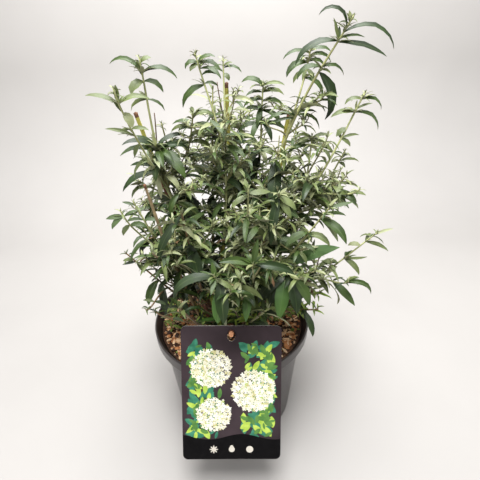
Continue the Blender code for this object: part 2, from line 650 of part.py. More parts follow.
def grow_stem(name, plan, stem, first, scale, rng):
    """Leaf pairs up a stem, each a quarter turn from the last, closer and smaller to the tip."""
    reach, turn = first, rng.uniform(-0.4, 0.4)
    while reach < stem.length * TIP_SHARE - PAIR_SPACING[1] * 0.6:
        share = reach / stem.length
        length = scale * float(np.interp(share ** 1.5, (0, 1), LEAF_LENGTH))
        grow_pair(name, plan, stem, share, turn, length, rng)
        reach += float(np.interp(share, (0, 1), PAIR_SPACING))
        turn += math.pi / 2
    length = scale * LEAF_LENGTH[1] * TIP_LEAF
    for heading in (turn, turn + math.pi):
        pitches = [math.radians(pitch) for pitch in TIP_PITCHES]
        leaf = Leaf(stem, TIP_SHARE, heading, pitches, length, length * LEAF_SLENDERNESS[1])
        try_leaf(name, plan, leaf)


def grow_twigs(name, plan, stem, rng):
    """Short leafy twigs from the axils of the stem's lower nodes."""
    for share in np.arange(*TWIG_PLACES, TWIG_SPACING / stem.length):
        if rng.random() > TWIG_CHANCE:
            continue
        for _ in range(TRIES):
            heading, rise = rng.uniform(0, 2 * math.pi), rng.uniform(*TWIG_RISE)
            length = rng.uniform(*TWIG_LENGTH)
            start = stem.at(share)
            tip = start + heading_vector(heading, rise) * length
            points = side_path(start, stem.along(share), tip, np.linspace(0, 1, TWIG_POINTS))
            twig = Stem(points, np.linspace(STEM_START_RADIUS * TWIG_SHARE, STEM_END_RADIUS, TWIG_POINTS))
            middles, radii = twig.samples()
            past = np.linalg.norm(middles - start, axis=1) > TWIG_ROOT
            if room.free(name, middles[past], radii[past], start, TWIG_ROOT * 1.5):
                room.add(name, middles[past], radii[past])
                plan["twigs"].append(twig)
                grow_stem(name, plan, twig, length * TWIG_FIRST_PAIR, TWIG_LEAF_SCALE, rng)
                break


def join_mass(name, plan):
    """One solid of the mass: its stems, twigs and leaves, by one union."""
    parts = new_collection(name + "_parts")
    stem, *rest = plan["stems"] + plan["twigs"]
    mass = tube_object(name + "_foliage", stem.points, stem.radii, 3, bush, leaf_green)
    for i, twig in enumerate(rest):
        tube_object("%s_twig_%d" % (name, i), twig.points, twig.radii, 3, parts)
    for i, leaf in enumerate(plan["leaves"]):
        leaf_object("%s_leaf_%d" % (name, i), leaf, parts)
    union = mass.modifiers.new("Union", "BOOLEAN")
    union.operation = "UNION"
    union.operand_type = "COLLECTION"
    union.collection = parts
    union.solver = "EXACT"
    bpy.context.view_layer.update()
    shape = mass.evaluated_get(bpy.context.evaluated_depsgraph_get())
    mesh = bpy.data.meshes.new_from_object(shape)
    mass.modifiers.clear()
    mass.data = mesh
    for thing in list(parts.objects):
        bpy.data.objects.remove(thing)
    bpy.data.collections.remove(parts)
    return mass


for old in list(bpy.data.objects):
    bpy.data.objects.remove(old)

bush = new_collection("butterfly_bush")
helpers = new_collection("helpers")
sections = {sides: section_curve(sides) for sides in (3, LIMB_SIDES, 8, 12)}

plastic_black = new_material("black_plastic", (0.022, 0.021, 0.022), 0.38)
bark_chips = new_material("bark_chips", (0.30, 0.17, 0.09), 0.95)
card_plastic = new_material("card_plastic", (0.075, 0.045, 0.050), 0.35)
old_bark = new_material("old_bark", (0.16, 0.085, 0.05), 0.85)
young_bark = new_material("young_bark", (0.26, 0.24, 0.07), 0.60)
leaf_green = new_material("leaf_green", (0.085, 0.150, 0.075), 0.65)

room = Room()
make_pot()
make_medium()
make_card()
make_stock()
make_card_stem()

plans = plan_limbs()
set_leaves(plans)
rng = random.Random(SEED)
for name, plan in plans.items():
    for stem in plan["stems"]:
        grow_stem(name, plan, stem, FIRST_PAIR, 1.0, rng)
for name, plan in plans.items():
    for stem in plan["stems"]:
        grow_twigs(name, plan, stem, rng)
for name, plan in plans.items():
    limb = plan["limb"]
    if plan["stems"]:
        tube_object(name + "_bough", limb.points, limb.radii, LIMB_SIDES, bush, young_bark)
        join_mass(name, plan)
    else:
        tube_object(name, limb.points, limb.radii, LIMB_SIDES, bush, young_bark)
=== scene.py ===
"""Looks of the potted butterfly bush: a young garden shrub in a black nursery pot.

The pieces follow the plant as it is put together: pot, bark compost, hanging card, woody stock and
boughs, leafy shoots, leaves. Metres, +Z up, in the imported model's own frame.
"""
import math

import bpy
import numpy as np
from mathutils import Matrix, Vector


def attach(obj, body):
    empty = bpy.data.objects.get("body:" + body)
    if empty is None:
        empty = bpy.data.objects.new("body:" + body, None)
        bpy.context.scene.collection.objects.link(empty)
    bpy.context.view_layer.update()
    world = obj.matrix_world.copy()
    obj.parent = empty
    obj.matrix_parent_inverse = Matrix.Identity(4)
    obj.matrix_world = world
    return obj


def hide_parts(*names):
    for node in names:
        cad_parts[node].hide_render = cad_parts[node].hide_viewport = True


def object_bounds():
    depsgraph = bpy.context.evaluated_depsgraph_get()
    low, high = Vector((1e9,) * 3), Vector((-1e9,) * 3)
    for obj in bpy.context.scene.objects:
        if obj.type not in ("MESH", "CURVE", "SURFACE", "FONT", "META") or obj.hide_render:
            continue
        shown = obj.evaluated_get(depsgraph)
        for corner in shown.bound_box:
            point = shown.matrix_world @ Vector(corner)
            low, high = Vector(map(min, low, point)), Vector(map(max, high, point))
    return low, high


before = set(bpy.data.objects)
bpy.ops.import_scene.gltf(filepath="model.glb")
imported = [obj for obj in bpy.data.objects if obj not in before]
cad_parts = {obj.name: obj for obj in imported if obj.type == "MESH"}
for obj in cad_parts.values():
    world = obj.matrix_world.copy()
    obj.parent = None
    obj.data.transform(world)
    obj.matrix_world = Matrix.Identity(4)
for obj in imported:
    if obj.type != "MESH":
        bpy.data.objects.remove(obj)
cad_box = [list(corner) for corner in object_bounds()]


# Pot
# A thin moulded nursery pot of black plastic with a deep lip, dull and dusty from the bench. One
# profile is turned round the axis, and small bevels soften the moulded edges.
POT_HEIGHT = 0.1335
LIP_RADIUS, LIP_DEPTH, LIP_WALL = 0.0877, 0.0130, 0.0024
POT_TOP_RADIUS, POT_BASE_RADIUS = 0.0800, 0.0697
POT_WALL, POT_FLOOR = 0.0014, 0.0020
FOOT_INSET, FOOT_RISE = 0.0020, 0.0035
NECK_INSET, NECK_DROP = 0.0006, 0.0060
LIP_FOOT_INSET, LIP_EDGE_INSET, LIP_EDGE_RISE = 0.0012, 0.0004, 0.0008
RIM_ROUND, RIM_INNER_ROUND, RIM_INNER_DROP = 0.0006, 0.0005, 0.0025
POT_STEPS = 160
MOULDED_EDGE, MOULDED_ANGLE = 0.0004, 35
DRIFT_DETAIL, DRIFT_RANGE, RELIEF_DETAIL = 5.0, (0.34, 0.66), 3.0


def shade(red, green, blue):
    """A colour as seen in daylight, 0 to 255, as the linear values that a shader takes."""
    seen = np.array([red, green, blue]) / 255
    linear = np.where(seen < 0.0405, seen / 12.92, ((seen + 0.055) / 1.055) ** 2.4)
    return (*linear.tolist(), 1.0)


def add_noise(nodes, links, place, grain, detail):
    """A noise over the piece's own coordinates, with grain waves to the metre."""
    noise = nodes.new("ShaderNodeTexNoise")
    noise.inputs["Scale"].default_value = grain
    noise.inputs["Detail"].default_value = detail
    links.new(place.outputs["Object"], noise.inputs["Vector"])
    return noise.outputs["Fac"]


def finish(name, colour, other, grain, roughness, relief=0.0, relief_grain=600.0, sheen=0.0,
           shine=0.5):
    """A material that drifts between two colours by a noise with grain waves to the metre.

    A second noise lifts the surface by relief metres.
    """
    made = bpy.data.materials.new(name)
    made.use_nodes = True
    nodes, links = made.node_tree.nodes, made.node_tree.links
    shader = nodes["Principled BSDF"]
    place = nodes.new("ShaderNodeTexCoord")
    drift = add_noise(nodes, links, place, grain, DRIFT_DETAIL)
    spread = nodes.new("ShaderNodeMapRange")
    spread.inputs["From Min"].default_value = DRIFT_RANGE[0]
    spread.inputs["From Max"].default_value = DRIFT_RANGE[1]
    blend = nodes.new("ShaderNodeMix")
    blend.data_type = "RGBA"
    blend.inputs["A"].default_value = colour
    blend.inputs["B"].default_value = other
    links.new(drift, spread.inputs["Value"])
    links.new(spread.outputs["Result"], blend.inputs["Factor"])
    links.new(blend.outputs["Result"], shader.inputs["Base Color"])
    shader.inputs["Roughness"].default_value = roughness
    shader.inputs["Sheen Weight"].default_value = sheen
    shader.inputs["Specular IOR Level"].default_value = shine
    if relief:
        rough = add_noise(nodes, links, place, relief_grain, RELIEF_DETAIL)
        lift = nodes.new("ShaderNodeBump")
        lift.inputs["Distance"].default_value = relief
        links.new(rough, lift.inputs["Height"])
        links.new(lift.outputs["Normal"], shader.inputs["Normal"])
    made.diffuse_color = colour
    return made


def add_shapes(name, finishes, rings, starts=None, ends=None, dress=None, lower=None, sharp=None):
    """One mesh of many closed shapes, from rings as an array (shape, ring, point, xyz).

    Point j of a ring joins point j + 1 and the same two of the next ring. The first and last
    rings close on the points in starts and ends, or on each other where there are none. dress
    holds each face's finish by (ring, point). The faces from the point lower on, a blade's
    underside, bend along the other diagonal, so that they keep clear of the faces above them.
    Edges that turn by more than sharp degrees are shaded as corners.
    """
    count, rows, sides = rings.shape[:3]
    here = np.arange(rows * sides).reshape(rows, sides)
    beside = np.roll(here, -1, axis=1)
    faces = np.stack([here, beside, np.roll(beside, -1, axis=0), np.roll(here, -1, axis=0)],
                     axis=-1)
    if lower:
        faces[:, lower:] = np.roll(faces[:, lower:], -1, axis=-1)
    dress = np.zeros((rows, sides), int) if dress is None else dress
    points, size = rings.reshape(count, -1, 3), rows * sides
    if starts is None:
        corners, lengths, worn = faces.ravel(), np.full(rows * sides, 4), dress.ravel()
    else:
        points = np.concatenate([points, starts[:, None], ends[:, None]], axis=1)
        foot = np.stack([np.full(sides, size), beside[0], here[0]], axis=-1)
        head = np.stack([np.full(sides, size + 1), here[-1], beside[-1]], axis=-1)
        corners = np.concatenate([faces[:-1].ravel(), foot.ravel(), head.ravel()])
        lengths = np.repeat([4, 3], [(rows - 1) * sides, 2 * sides])
        worn = np.concatenate([dress[:-1].ravel(), dress[0], dress[-1]])
        size += 2
    corners = (corners + size * np.arange(count)[:, None]).ravel()
    lengths = np.tile(lengths, count)
    mesh = bpy.data.meshes.new(name)
    mesh.vertices.add(count * size)
    mesh.vertices.foreach_set("co", points.astype(np.float32).ravel())
    mesh.loops.add(len(corners))
    mesh.loops.foreach_set("vertex_index", corners.astype(np.int32))
    mesh.polygons.add(len(lengths))
    mesh.polygons.foreach_set("loop_start", (np.cumsum(lengths) - lengths).astype(np.int32))
    mesh.polygons.foreach_set("material_index", np.tile(worn, count).astype(np.int32))
    mesh.polygons.foreach_set("use_smooth", np.ones(len(lengths), bool))
    mesh.update(calc_edges=True)
    if sharp:
        mesh.set_sharp_from_angle(angle=math.radians(sharp))
    for worn_finish in finishes:
        mesh.materials.append(worn_finish)
    piece = bpy.data.objects.new(name, mesh)
    bpy.context.scene.collection.objects.link(piece)
    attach(piece, "root")
    return piece


def turned(profile, steps):
    """Rings of a turned shape: (radius, height) at turn t lies at (r cos t, r sin t, height)."""
    radius, height = np.array(profile).T
    turn = np.linspace(0, 2 * math.pi, steps, endpoint=False)
    return np.stack([radius[:, None] * np.cos(turn), radius[:, None] * np.sin(turn),
                     np.repeat(height[:, None], steps, axis=1)], axis=-1)[None]


lip_foot = POT_HEIGHT - LIP_DEPTH
pot_profile = [
    (POT_BASE_RADIUS - FOOT_INSET, 0.0), (POT_BASE_RADIUS, FOOT_RISE),
    (POT_TOP_RADIUS - NECK_INSET, lip_foot - NECK_DROP), (POT_TOP_RADIUS, lip_foot),
    (LIP_RADIUS - LIP_FOOT_INSET, lip_foot),
    (LIP_RADIUS - LIP_EDGE_INSET, lip_foot + LIP_EDGE_RISE),
    (LIP_RADIUS, POT_HEIGHT - RIM_ROUND), (LIP_RADIUS - RIM_ROUND, POT_HEIGHT),
    (LIP_RADIUS - LIP_WALL + RIM_INNER_ROUND, POT_HEIGHT),
    (LIP_RADIUS - LIP_WALL, POT_HEIGHT - RIM_INNER_DROP),
    (POT_TOP_RADIUS - POT_WALL, lip_foot), (POT_BASE_RADIUS - POT_WALL, POT_FLOOR),
]
pot_plastic = finish("pot_plastic", shade(36, 32, 32), shade(58, 52, 50), grain=22.0,
                     roughness=0.32, relief=0.00008, relief_grain=900.0)
pot = add_shapes("nursery_pot", [pot_plastic], turned(pot_profile, POT_STEPS),
                 np.array([[0, 0, 0]]), np.array([[0, 0, POT_FLOOR]]), sharp=MOULDED_ANGLE)
soften = pot.modifiers.new("Moulded edges", "BEVEL")
soften.width, soften.segments = MOULDED_EDGE, 2
soften.limit_method, soften.angle_limit = "ANGLE", math.radians(MOULDED_ANGLE)
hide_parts("pot")


# Bark compost
# Loose orange-brown bark chips on dark compost, low round the stock and heaped up to the lip. The
# compost is one turned plug with an uneven top, and each chip is a small closed flake on it.
COMPOST_TOP, COMPOST_CROWN, COMPOST_GAP = 0.1165, 0.0020, 0.0004
COMPOST_BUMP, BUMP_WAVES, BUMP_LENGTH = 0.0006, 14, (0.008, 0.040)
HEAP_HEIGHT, HEAP_START, HEAP_END = 0.0080, 0.45, 0.98
PLUG_RINGS, PLUG_STEPS, PLUG_CORE = 50, 180, 0.002
STOCK_X, STOCK_Y = -0.0110, 0.0010

# A chip's width is a share of its length and its thickness a share of its width. It stands on
# three rings, uneven and shifted by chance, clear of the wall and the stock.
CHIP_COUNT = 3600
CHIP_LENGTH, CHIP_SHORTNESS = (0.0022, 0.0085), 1.6
CHIP_WIDTH, CHIP_THICKNESS = (0.40, 0.80), (0.25, 0.55)
CHIP_STATIONS, CHIP_SWELL = np.array([-0.40, 0.0, 0.38]), np.array([0.80, 1.0, 0.72])
CHIP_UNEVEN, CHIP_SHIFT, CHIP_ANGLE = (0.65, 1.15), (-0.07, 0.07), 30
CHIP_PROUD, CHIP_TILT, CHIP_ROLL = (0.1, 1.3), 0.32, 0.40
WALL_CLEAR, STOCK_CLEAR, LENGTH_CLEAR = 0.0006, 0.0125, 0.2
CHIP_KINDS = {
    "tan": (0.42, shade(246, 216, 176), shade(228, 180, 134)),
    "rust": (0.28, shade(210, 148, 98), shade(176, 112, 68)),
    "dark": (0.25, shade(86, 60, 46), shade(56, 42, 36)),
    "green": (0.05, shade(134, 150, 70), shade(102, 124, 56)),
}
dice = np.random.default_rng(5)


def uneven(x, y):
    """Height of an uneven ground: a sum of plane waves of 8 to 40 mm in all directions."""
    roll = np.random.default_rng(3)
    way = roll.uniform(0, math.pi, BUMP_WAVES)
    reach = 2 * math.pi / roll.uniform(*BUMP_LENGTH, BUMP_WAVES)
    phase = roll.uniform(0, 2 * math.pi, BUMP_WAVES)
    along = x[..., None] * np.cos(way) + y[..., None] * np.sin(way)
    return np.sin(along * reach + phase).sum(axis=-1) / math.sqrt(BUMP_WAVES)


def compost_height(x, y):
    """The compost's top: a low mound in the middle, an even slope up to the lip, and bumps."""
    share = np.clip(np.hypot(x, y) / POT_TOP_RADIUS, 0, 1)
    slope = np.clip((share - HEAP_START) / (HEAP_END - HEAP_START), 0, 1)
    return (COMPOST_TOP + COMPOST_CROWN * (1 - share ** 2)
            + HEAP_HEIGHT * slope * slope * (3 - 2 * slope) + COMPOST_BUMP * uneven(x, y))


inner_foot, inner_top = POT_BASE_RADIUS - POT_WALL, POT_TOP_RADIUS - POT_WALL
lip_slope = (LIP_RADIUS - LIP_WALL - inner_top) / (POT_HEIGHT - RIM_INNER_DROP - lip_foot)
heap_rise = COMPOST_TOP + HEAP_HEIGHT - lip_foot
compost_wall = inner_top + lip_slope * heap_rise - COMPOST_GAP * 2
compost_foot = POT_FLOOR + COMPOST_GAP
plug_profile = [(inner_foot - COMPOST_GAP, compost_foot), (inner_top - COMPOST_GAP, lip_foot)]
plug_profile += [(radius, COMPOST_TOP)
                 for radius in np.linspace(compost_wall, PLUG_CORE, PLUG_RINGS)]
plug = turned(plug_profile, PLUG_STEPS)
plug[0, 2:, :, 2] = compost_height(plug[0, 2:, :, 0], plug[0, 2:, :, 1])
compost_finish = finish("compost", shade(58, 38, 27), shade(92, 60, 40), grain=260.0,
                        roughness=0.95, relief=0.0012, relief_grain=420.0)
centre_top = float(compost_height(np.zeros(1), np.zeros(1))[0])
compost = add_shapes("compost", [compost_finish], plug, np.array([[0, 0, compost_foot]]),
                     np.array([[0, 0, centre_top]]))
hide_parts("growing_medium")


def turned_frames(yaw, tilt, spin):
    """Three unit axes for each shape: along at a yaw and a tilt, then rolled by spin round it."""
    level = np.cos(tilt)
    along = np.stack([level * np.cos(yaw), level * np.sin(yaw), np.sin(tilt)], axis=-1)
    side = np.stack([-np.sin(yaw), np.cos(yaw), np.zeros_like(yaw)], axis=-1)
    lift = np.cross(along, side)
    cos, sin = np.cos(spin)[..., None], np.sin(spin)[..., None]
    return along, side * cos + lift * sin, lift * cos - side * sin


def chip_shapes(places, length, width, thick, yaw, tilt, spin):
    """Flakes: three uneven six-cornered rings along each chip, closed at two blunt ends."""
    along, side, lift = turned_frames(yaw, tilt, spin)
    turn = np.arange(6) * math.pi / 3
    swell = dice.uniform(*CHIP_UNEVEN, (len(places), 3, 6)) * CHIP_SWELL[:, None]
    shift = CHIP_STATIONS[None, :, None] + dice.uniform(*CHIP_SHIFT, (len(places), 3, 6))
    rings = (places[:, None, None]
             + (shift * length[:, None, None])[..., None] * along[:, None, None]
             + (swell * np.cos(turn) * width[:, None, None] / 2)[..., None] * side[:, None, None]
             + (swell * np.sin(turn) * thick[:, None, None] / 2)[..., None] * lift[:, None, None])
    reach = along * length[:, None] / 2
    return rings, places - reach, places + reach


chip_size = dice.random(CHIP_COUNT) ** CHIP_SHORTNESS
chip_length = CHIP_LENGTH[0] + (CHIP_LENGTH[1] - CHIP_LENGTH[0]) * chip_size
chip_width = chip_length * dice.uniform(*CHIP_WIDTH, CHIP_COUNT)
chip_thick = chip_width * dice.uniform(*CHIP_THICKNESS, CHIP_COUNT)
chip_reach = (compost_wall - WALL_CLEAR - chip_length / 2) * np.sqrt(dice.random(CHIP_COUNT))
chip_turn = dice.uniform(0, 2 * math.pi, CHIP_COUNT)
chip_x, chip_y = chip_reach * np.cos(chip_turn), chip_reach * np.sin(chip_turn)
chip_z = compost_height(chip_x, chip_y) + chip_thick * dice.uniform(*CHIP_PROUD, CHIP_COUNT)
from_stock = np.hypot(chip_x - STOCK_X, chip_y - STOCK_Y)
free = from_stock > STOCK_CLEAR + chip_length * LENGTH_CLEAR
chip_yaw = dice.uniform(0, 2 * math.pi, CHIP_COUNT)
chip_tilt = dice.normal(0, CHIP_TILT, CHIP_COUNT)
chip_spin = dice.normal(0, CHIP_ROLL, CHIP_COUNT)
chip_lot = dice.random(CHIP_COUNT)
chip_measures = (np.stack([chip_x, chip_y, chip_z], axis=-1), chip_length, chip_width, chip_thick,
                 chip_yaw, chip_tilt, chip_spin)
lot_start = 0.0
for kind, (share, colour, other) in CHIP_KINDS.items():
    mine = free & (chip_lot >= lot_start) & (chip_lot < lot_start + share)
    lot_start += share
    chip_finish = finish("chips_" + kind, colour, other, grain=140.0, roughness=0.92,
                         relief=0.0002)
    chips = add_shapes("chips_" + kind, [chip_finish],
                       *chip_shapes(*(measure[mine] for measure in chip_measures)),
                       sharp=CHIP_ANGLE)


# Hanging card
# A thin plastic plant card with round corners, hung by its oval hole on a cut stem, leaning on the
# lip. Its front is printed: round cream blossoms and bright leaves on a dark ground, with a black
# foot. Each colour of the print is a skin of its own, a few hundredths of a millimetre thick.
CARD_WIDTH, CARD_HEIGHT, CARD_THICKNESS, CARD_CORNER = 0.095, 0.135, 0.0006, 0.005
CARD_LEAN, CARD_TURN, CARD_TOP = math.radians(22.8), math.radians(1.7), 0.1790
HOLE_WIDTH, HOLE_HEIGHT, HOLE_DROP = 0.0076, 0.0116, 0.0095
CARD_GAP, CARD_BOW = 0.0003, 0.0004
CARD_RINGS, RING_BUNCHING, CARD_ANGLE = 14, 1.3, 40
CORNER_POINTS, EDGE_POINTS = 9, 160
INK, INK_DEPTH, INK_ANGLE = 0.00005, 0.6, 30

across = np.array([1.0, 0.0, 0.0])
upwards = np.array([0.0, math.sin(CARD_LEAN), math.cos(CARD_LEAN)])
card_across = math.cos(CARD_TURN) * across - math.sin(CARD_TURN) * upwards
card_up = math.sin(CARD_TURN) * across + math.cos(CARD_TURN) * upwards
card_out = np.cross(card_across, card_up)
card_rise = (CARD_TOP - POT_HEIGHT) / math.cos(CARD_LEAN) - CARD_HEIGHT / 2
card_middle = (np.array([0.0, -LIP_RADIUS, POT_HEIGHT]) + card_out * (CARD_GAP + CARD_THICKNESS / 2)
               + card_up * card_rise)


def on_card(x, y, out):
    """The place of a point at x across, y up and out of the card's middle plane."""
    return (card_middle + x[..., None] * card_across + y[..., None] * card_up
            + np.broadcast_to(out, x.shape)[..., None] * card_out)


def card_bow(x):
    """How far the card bends out of its plane at x across: a shallow trough down its middle."""
    return CARD_BOW * ((2 * x / CARD_WIDTH) ** 2 - 0.5)


def round_cornered(width, height, corner):
    """The outline of a card: four quarter circles joined by straight edges, evenly stepped."""
    places = []
    for quarter in range(4):
        turn = math.pi / 2 * quarter
        sign = (np.sign(math.cos(turn + math.pi / 4)), np.sign(math.sin(turn + math.pi / 4)))
        middle = np.array(sign) * (np.array([width, height]) / 2 - corner)
        bend = turn + np.linspace(0, math.pi / 2, CORNER_POINTS)
        places.append(middle + corner * np.stack([np.cos(bend), np.sin(bend)], axis=-1))
    edge = np.concatenate(places)
    edge = np.vstack([edge, edge[:1]])
    length = np.concatenate([[0], np.cumsum(np.linalg.norm(np.diff(edge, axis=0), axis=1))])
    extra = np.linspace(0, length[-1], EDGE_POINTS, endpoint=False)
    reach = np.unique(np.round(np.concatenate([length[:-1], extra]), 6))
    return np.stack([np.interp(reach, length, edge[:, i]) for i in range(2)], axis=-1)


outline = round_cornered(CARD_WIDTH, CARD_HEIGHT, CARD_CORNER)
hole_middle = np.array([0.0, CARD_HEIGHT / 2 - HOLE_DROP])
ray = outline - hole_middle
ray_turn = np.arctan2(ray[:, 1], ray[:, 0])
hole_radius = 1 / np.hypot(np.cos(ray_turn) / (HOLE_WIDTH / 2),
                           np.sin(ray_turn) / (HOLE_HEIGHT / 2))
hole = hole_middle + hole_radius[:, None] * np.stack([np.cos(ray_turn), np.sin(ray_turn)], axis=-1)
inward = np.linspace(0, 1, CARD_RINGS)[:, None, None] ** RING_BUNCHING
sheet = outline + (hole - outline) * inward
sheet = np.concatenate([sheet, sheet[::-1]])
face = np.repeat([CARD_THICKNESS / 2, -CARD_THICKNESS / 2], CARD_RINGS)[:, None]
card_rings = on_card(sheet[..., 0], sheet[..., 1], face + card_bow(sheet[..., 0]))[None]
card_dress = np.zeros(sheet.shape[:2], int)
card_dress[CARD_RINGS - 1:] = 1
print_ground = finish("print_ground", shade(46, 37, 40), shade(62, 51, 55), grain=30.0,
                      roughness=0.50, shine=0.2)
card_white = finish("card_white", shade(222, 220, 214), shade(206, 204, 198), grain=60.0,
                    roughness=0.45)
card = add_shapes("plant_card", [print_ground, card_white], card_rings, dress=card_dress,
                  sharp=CARD_ANGLE)
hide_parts("card")


def print_skins(x, y, radius, turn, layer):
    """Thin flat skins on the card: each has an outline of radius by turn round (x, y)."""
    edge_x, edge_y = x[:, None] + radius * np.cos(turn), y[:, None] + radius * np.sin(turn)
    low, high = (CARD_THICKNESS / 2 + (layer - INK_DEPTH) * INK, CARD_THICKNESS / 2 + layer * INK)
    bend, flat = card_bow(edge_x), card_bow(x)
    rings = np.stack([on_card(edge_x, edge_y, level + bend) for level in (low, high)], axis=1)
    return rings, on_card(x, y, low + flat), on_card(x, y, high + flat)


def add_print(name, colour, other, skins, roughness=0.42):
    """A colour of the print: its skins as one piece, with sharp edges."""
    ink = finish("print_" + name, colour, other, grain=160.0, roughness=roughness, shine=0.1)
    printed = add_shapes("print_" + name, [ink], *skins, sharp=INK_ANGLE)


def leaf_outline(length, width, heading):
    """A leaf shape: an ellipse pinched at both ends, turned to its heading."""
    points, pinch = 20, 0.6
    turn = np.linspace(0, 2 * math.pi, points, endpoint=False)
    px = length[:, None] / 2 * np.cos(turn)
    py = width[:, None] / 2 * np.sin(turn) * np.abs(np.sin(turn)) ** pinch
    return np.hypot(px, py), np.arctan2(py, px) + heading[:, None]


# Leaves on the card: small and teal behind, larger and lime in front, thickest down both sides.
# Each kind has a number, a layer, lengths and colours.
PRINT_LEAVES = {
    "teal": (190, 1, (0.007, 0.016), shade(46, 104, 82), shade(70, 136, 108)),
    "lime": (120, 2, (0.006, 0.013), shade(148, 178, 66), shade(186, 208, 96)),
    "fern": (90, 3, (0.006, 0.012), shade(70, 112, 58), shade(100, 140, 72)),
}
PRINT_SIDE, PRINT_FOOT, PRINT_HEAD, PRINT_EDGE, PRINT_MIDDLE = 0.008, 0.024, 0.018, 0.001, 0.010
PRINT_SLENDER, PRINT_HEADING = (0.34, 0.5), (0.2, 2.9)
card_dice = np.random.default_rng(21)
for kind, (count, layer, sizes, colour, other) in PRINT_LEAVES.items():
    leaf_side = np.sign(card_dice.uniform(-1, 1, count))
    leaf_x = (CARD_WIDTH / 2 - PRINT_SIDE) * leaf_side * card_dice.random(count) ** 0.5
    leaf_y = card_dice.uniform(-CARD_HEIGHT / 2 + PRINT_FOOT, CARD_HEIGHT / 2 - PRINT_HEAD, count)
    length = card_dice.uniform(*sizes, count)
    radius, spin = leaf_outline(length, length * card_dice.uniform(*PRINT_SLENDER, count),
                                card_dice.uniform(*PRINT_HEADING, count))
    skins = print_skins(leaf_x, leaf_y, radius, spin, layer)
    inside = np.abs(leaf_x) + length / 2 < CARD_WIDTH / 2 - PRINT_EDGE
    inside &= np.abs(leaf_x) > PRINT_MIDDLE
    add_print(kind, colour, other, [part[inside] for part in skins])

# Blossoms on the card: three round heads, by place and reach, of small four-lobed florets in a
# spiral. The florets are cream, white or buff by lot, each on its own layer, some with lime hearts.
BLOSSOMS = [(-0.019, 0.026, 0.0190), (0.021, 0.003, 0.0205), (-0.017, -0.021, 0.0165)]
FLORETS_A_HEAD, FLORET_SIZE, FLORET_STRAY, USUAL_HEAD = 210, (0.0011, 0.0017), 0.0004, 0.019
FLORET_TINTS = {
    "cream": (0.00, 0.46, 5, shade(232, 229, 208), shade(220, 216, 192)),
    "white": (0.46, 0.80, 6, shade(241, 240, 230), shade(230, 228, 216)),
    "buff": (0.80, 1.00, 4, shade(210, 203, 160), shade(194, 190, 134)),
}
PETALS, PETAL_DEPTH = 4, 0.38
HEART_SHARE, HEART_RADIUS, HEART_SIDES, HEART_LAYER = 0.30, 0.00042, 8, 8
step = np.arange(FLORETS_A_HEAD)
florets = []
for x, y, reach in BLOSSOMS:
    away = reach * np.sqrt((step + 0.5) / FLORETS_A_HEAD)
    turn = step * math.pi * (3 - math.sqrt(5))
    florets.append((x + away * np.cos(turn) + card_dice.normal(0, FLORET_STRAY, FLORETS_A_HEAD),
                    y + away * np.sin(turn) + card_dice.normal(0, FLORET_STRAY, FLORETS_A_HEAD),
                    card_dice.uniform(*FLORET_SIZE, FLORETS_A_HEAD) * reach / USUAL_HEAD))
floret_x, floret_y, floret_size = np.concatenate(florets, axis=1)
petal_turn = np.linspace(0, 2 * math.pi, 4 * PETALS, endpoint=False)
lot = card_dice.random(len(floret_x))
for kind, (low, high, layer, colour, other) in FLORET_TINTS.items():
    mine = (lot >= low) & (lot < high)
    radius = floret_size[mine, None] * (1 + PETAL_DEPTH * np.cos(PETALS * petal_turn))
    spin = petal_turn + card_dice.uniform(0, math.pi / 2, mine.sum())[:, None]
    skins = print_skins(floret_x[mine], floret_y[mine], radius, spin, layer)
    add_print(kind, colour, other, skins)
hearts = card_dice.random(len(floret_x)) < HEART_SHARE
radius = np.full((hearts.sum(), HEART_SIDES), HEART_RADIUS)
spin = np.broadcast_to(np.linspace(0, 2 * math.pi, HEART_SIDES, endpoint=False), radius.shape)
add_print("hearts", shade(176, 190, 84), shade(196, 176, 70),
          print_skins(floret_x[hearts], floret_y[hearts], radius, spin, HEART_LAYER))

# Foot of the print: a black bank with a rolling top edge, and three plain signs on it, a toothed
# round, a drop and a smooth round
BANK_HEIGHT, BANK_INSET, BANK_POINTS, BANK_LAYER = 0.0235, 0.0002, 60, 5
BANK_ROLL, BANK_ROLLS, BANK_PHASE, BANK_CORNERS = 0.0028, 1.5, 0.6, 0.012
SIGN_Y, SIGN_STEP, SIGN_SIZE = -CARD_HEIGHT / 2 + 0.0105, 0.0175, 0.0040
SIGN_POINTS, SIGN_LAYER = 48, 7
card_foot = -CARD_HEIGHT / 2
bank_x = np.linspace(CARD_WIDTH / 2 - BANK_INSET, -CARD_WIDTH / 2 + BANK_INSET, BANK_POINTS)
bank_wave = BANK_ROLL * np.sin(bank_x / CARD_WIDTH * 2 * math.pi * BANK_ROLLS + BANK_PHASE)
bank_top = card_foot + BANK_HEIGHT + bank_wave
inset = 1 - BANK_INSET / (CARD_WIDTH / 2)
corner_edge = outline[outline[:, 1] < card_foot + BANK_CORNERS] * inset
bank_edge = np.concatenate([corner_edge, np.stack([bank_x, bank_top], axis=-1)])
bank_middle = np.array([0.0, card_foot + BANK_HEIGHT * 0.5])
away = bank_edge - bank_middle
away = away[np.argsort(np.arctan2(away[:, 1], away[:, 0]))]
skins = print_skins(bank_middle[:1], bank_middle[1:], np.hypot(*away.T)[None],
                    np.arctan2(away[:, 1], away[:, 0])[None], BANK_LAYER)
add_print("bank", shade(8, 7, 8), shade(13, 12, 13), skins, roughness=0.85)
sign_turn = np.linspace(0, 2 * math.pi, SIGN_POINTS, endpoint=False)
sign_radius = SIGN_SIZE * np.stack([
    0.78 + 0.22 * np.sign(np.cos(8 * sign_turn)),
    0.72 + 0.38 * np.clip(np.cos(sign_turn - math.pi / 2), 0, 1) ** 8,
    np.full(SIGN_POINTS, 0.86),
])
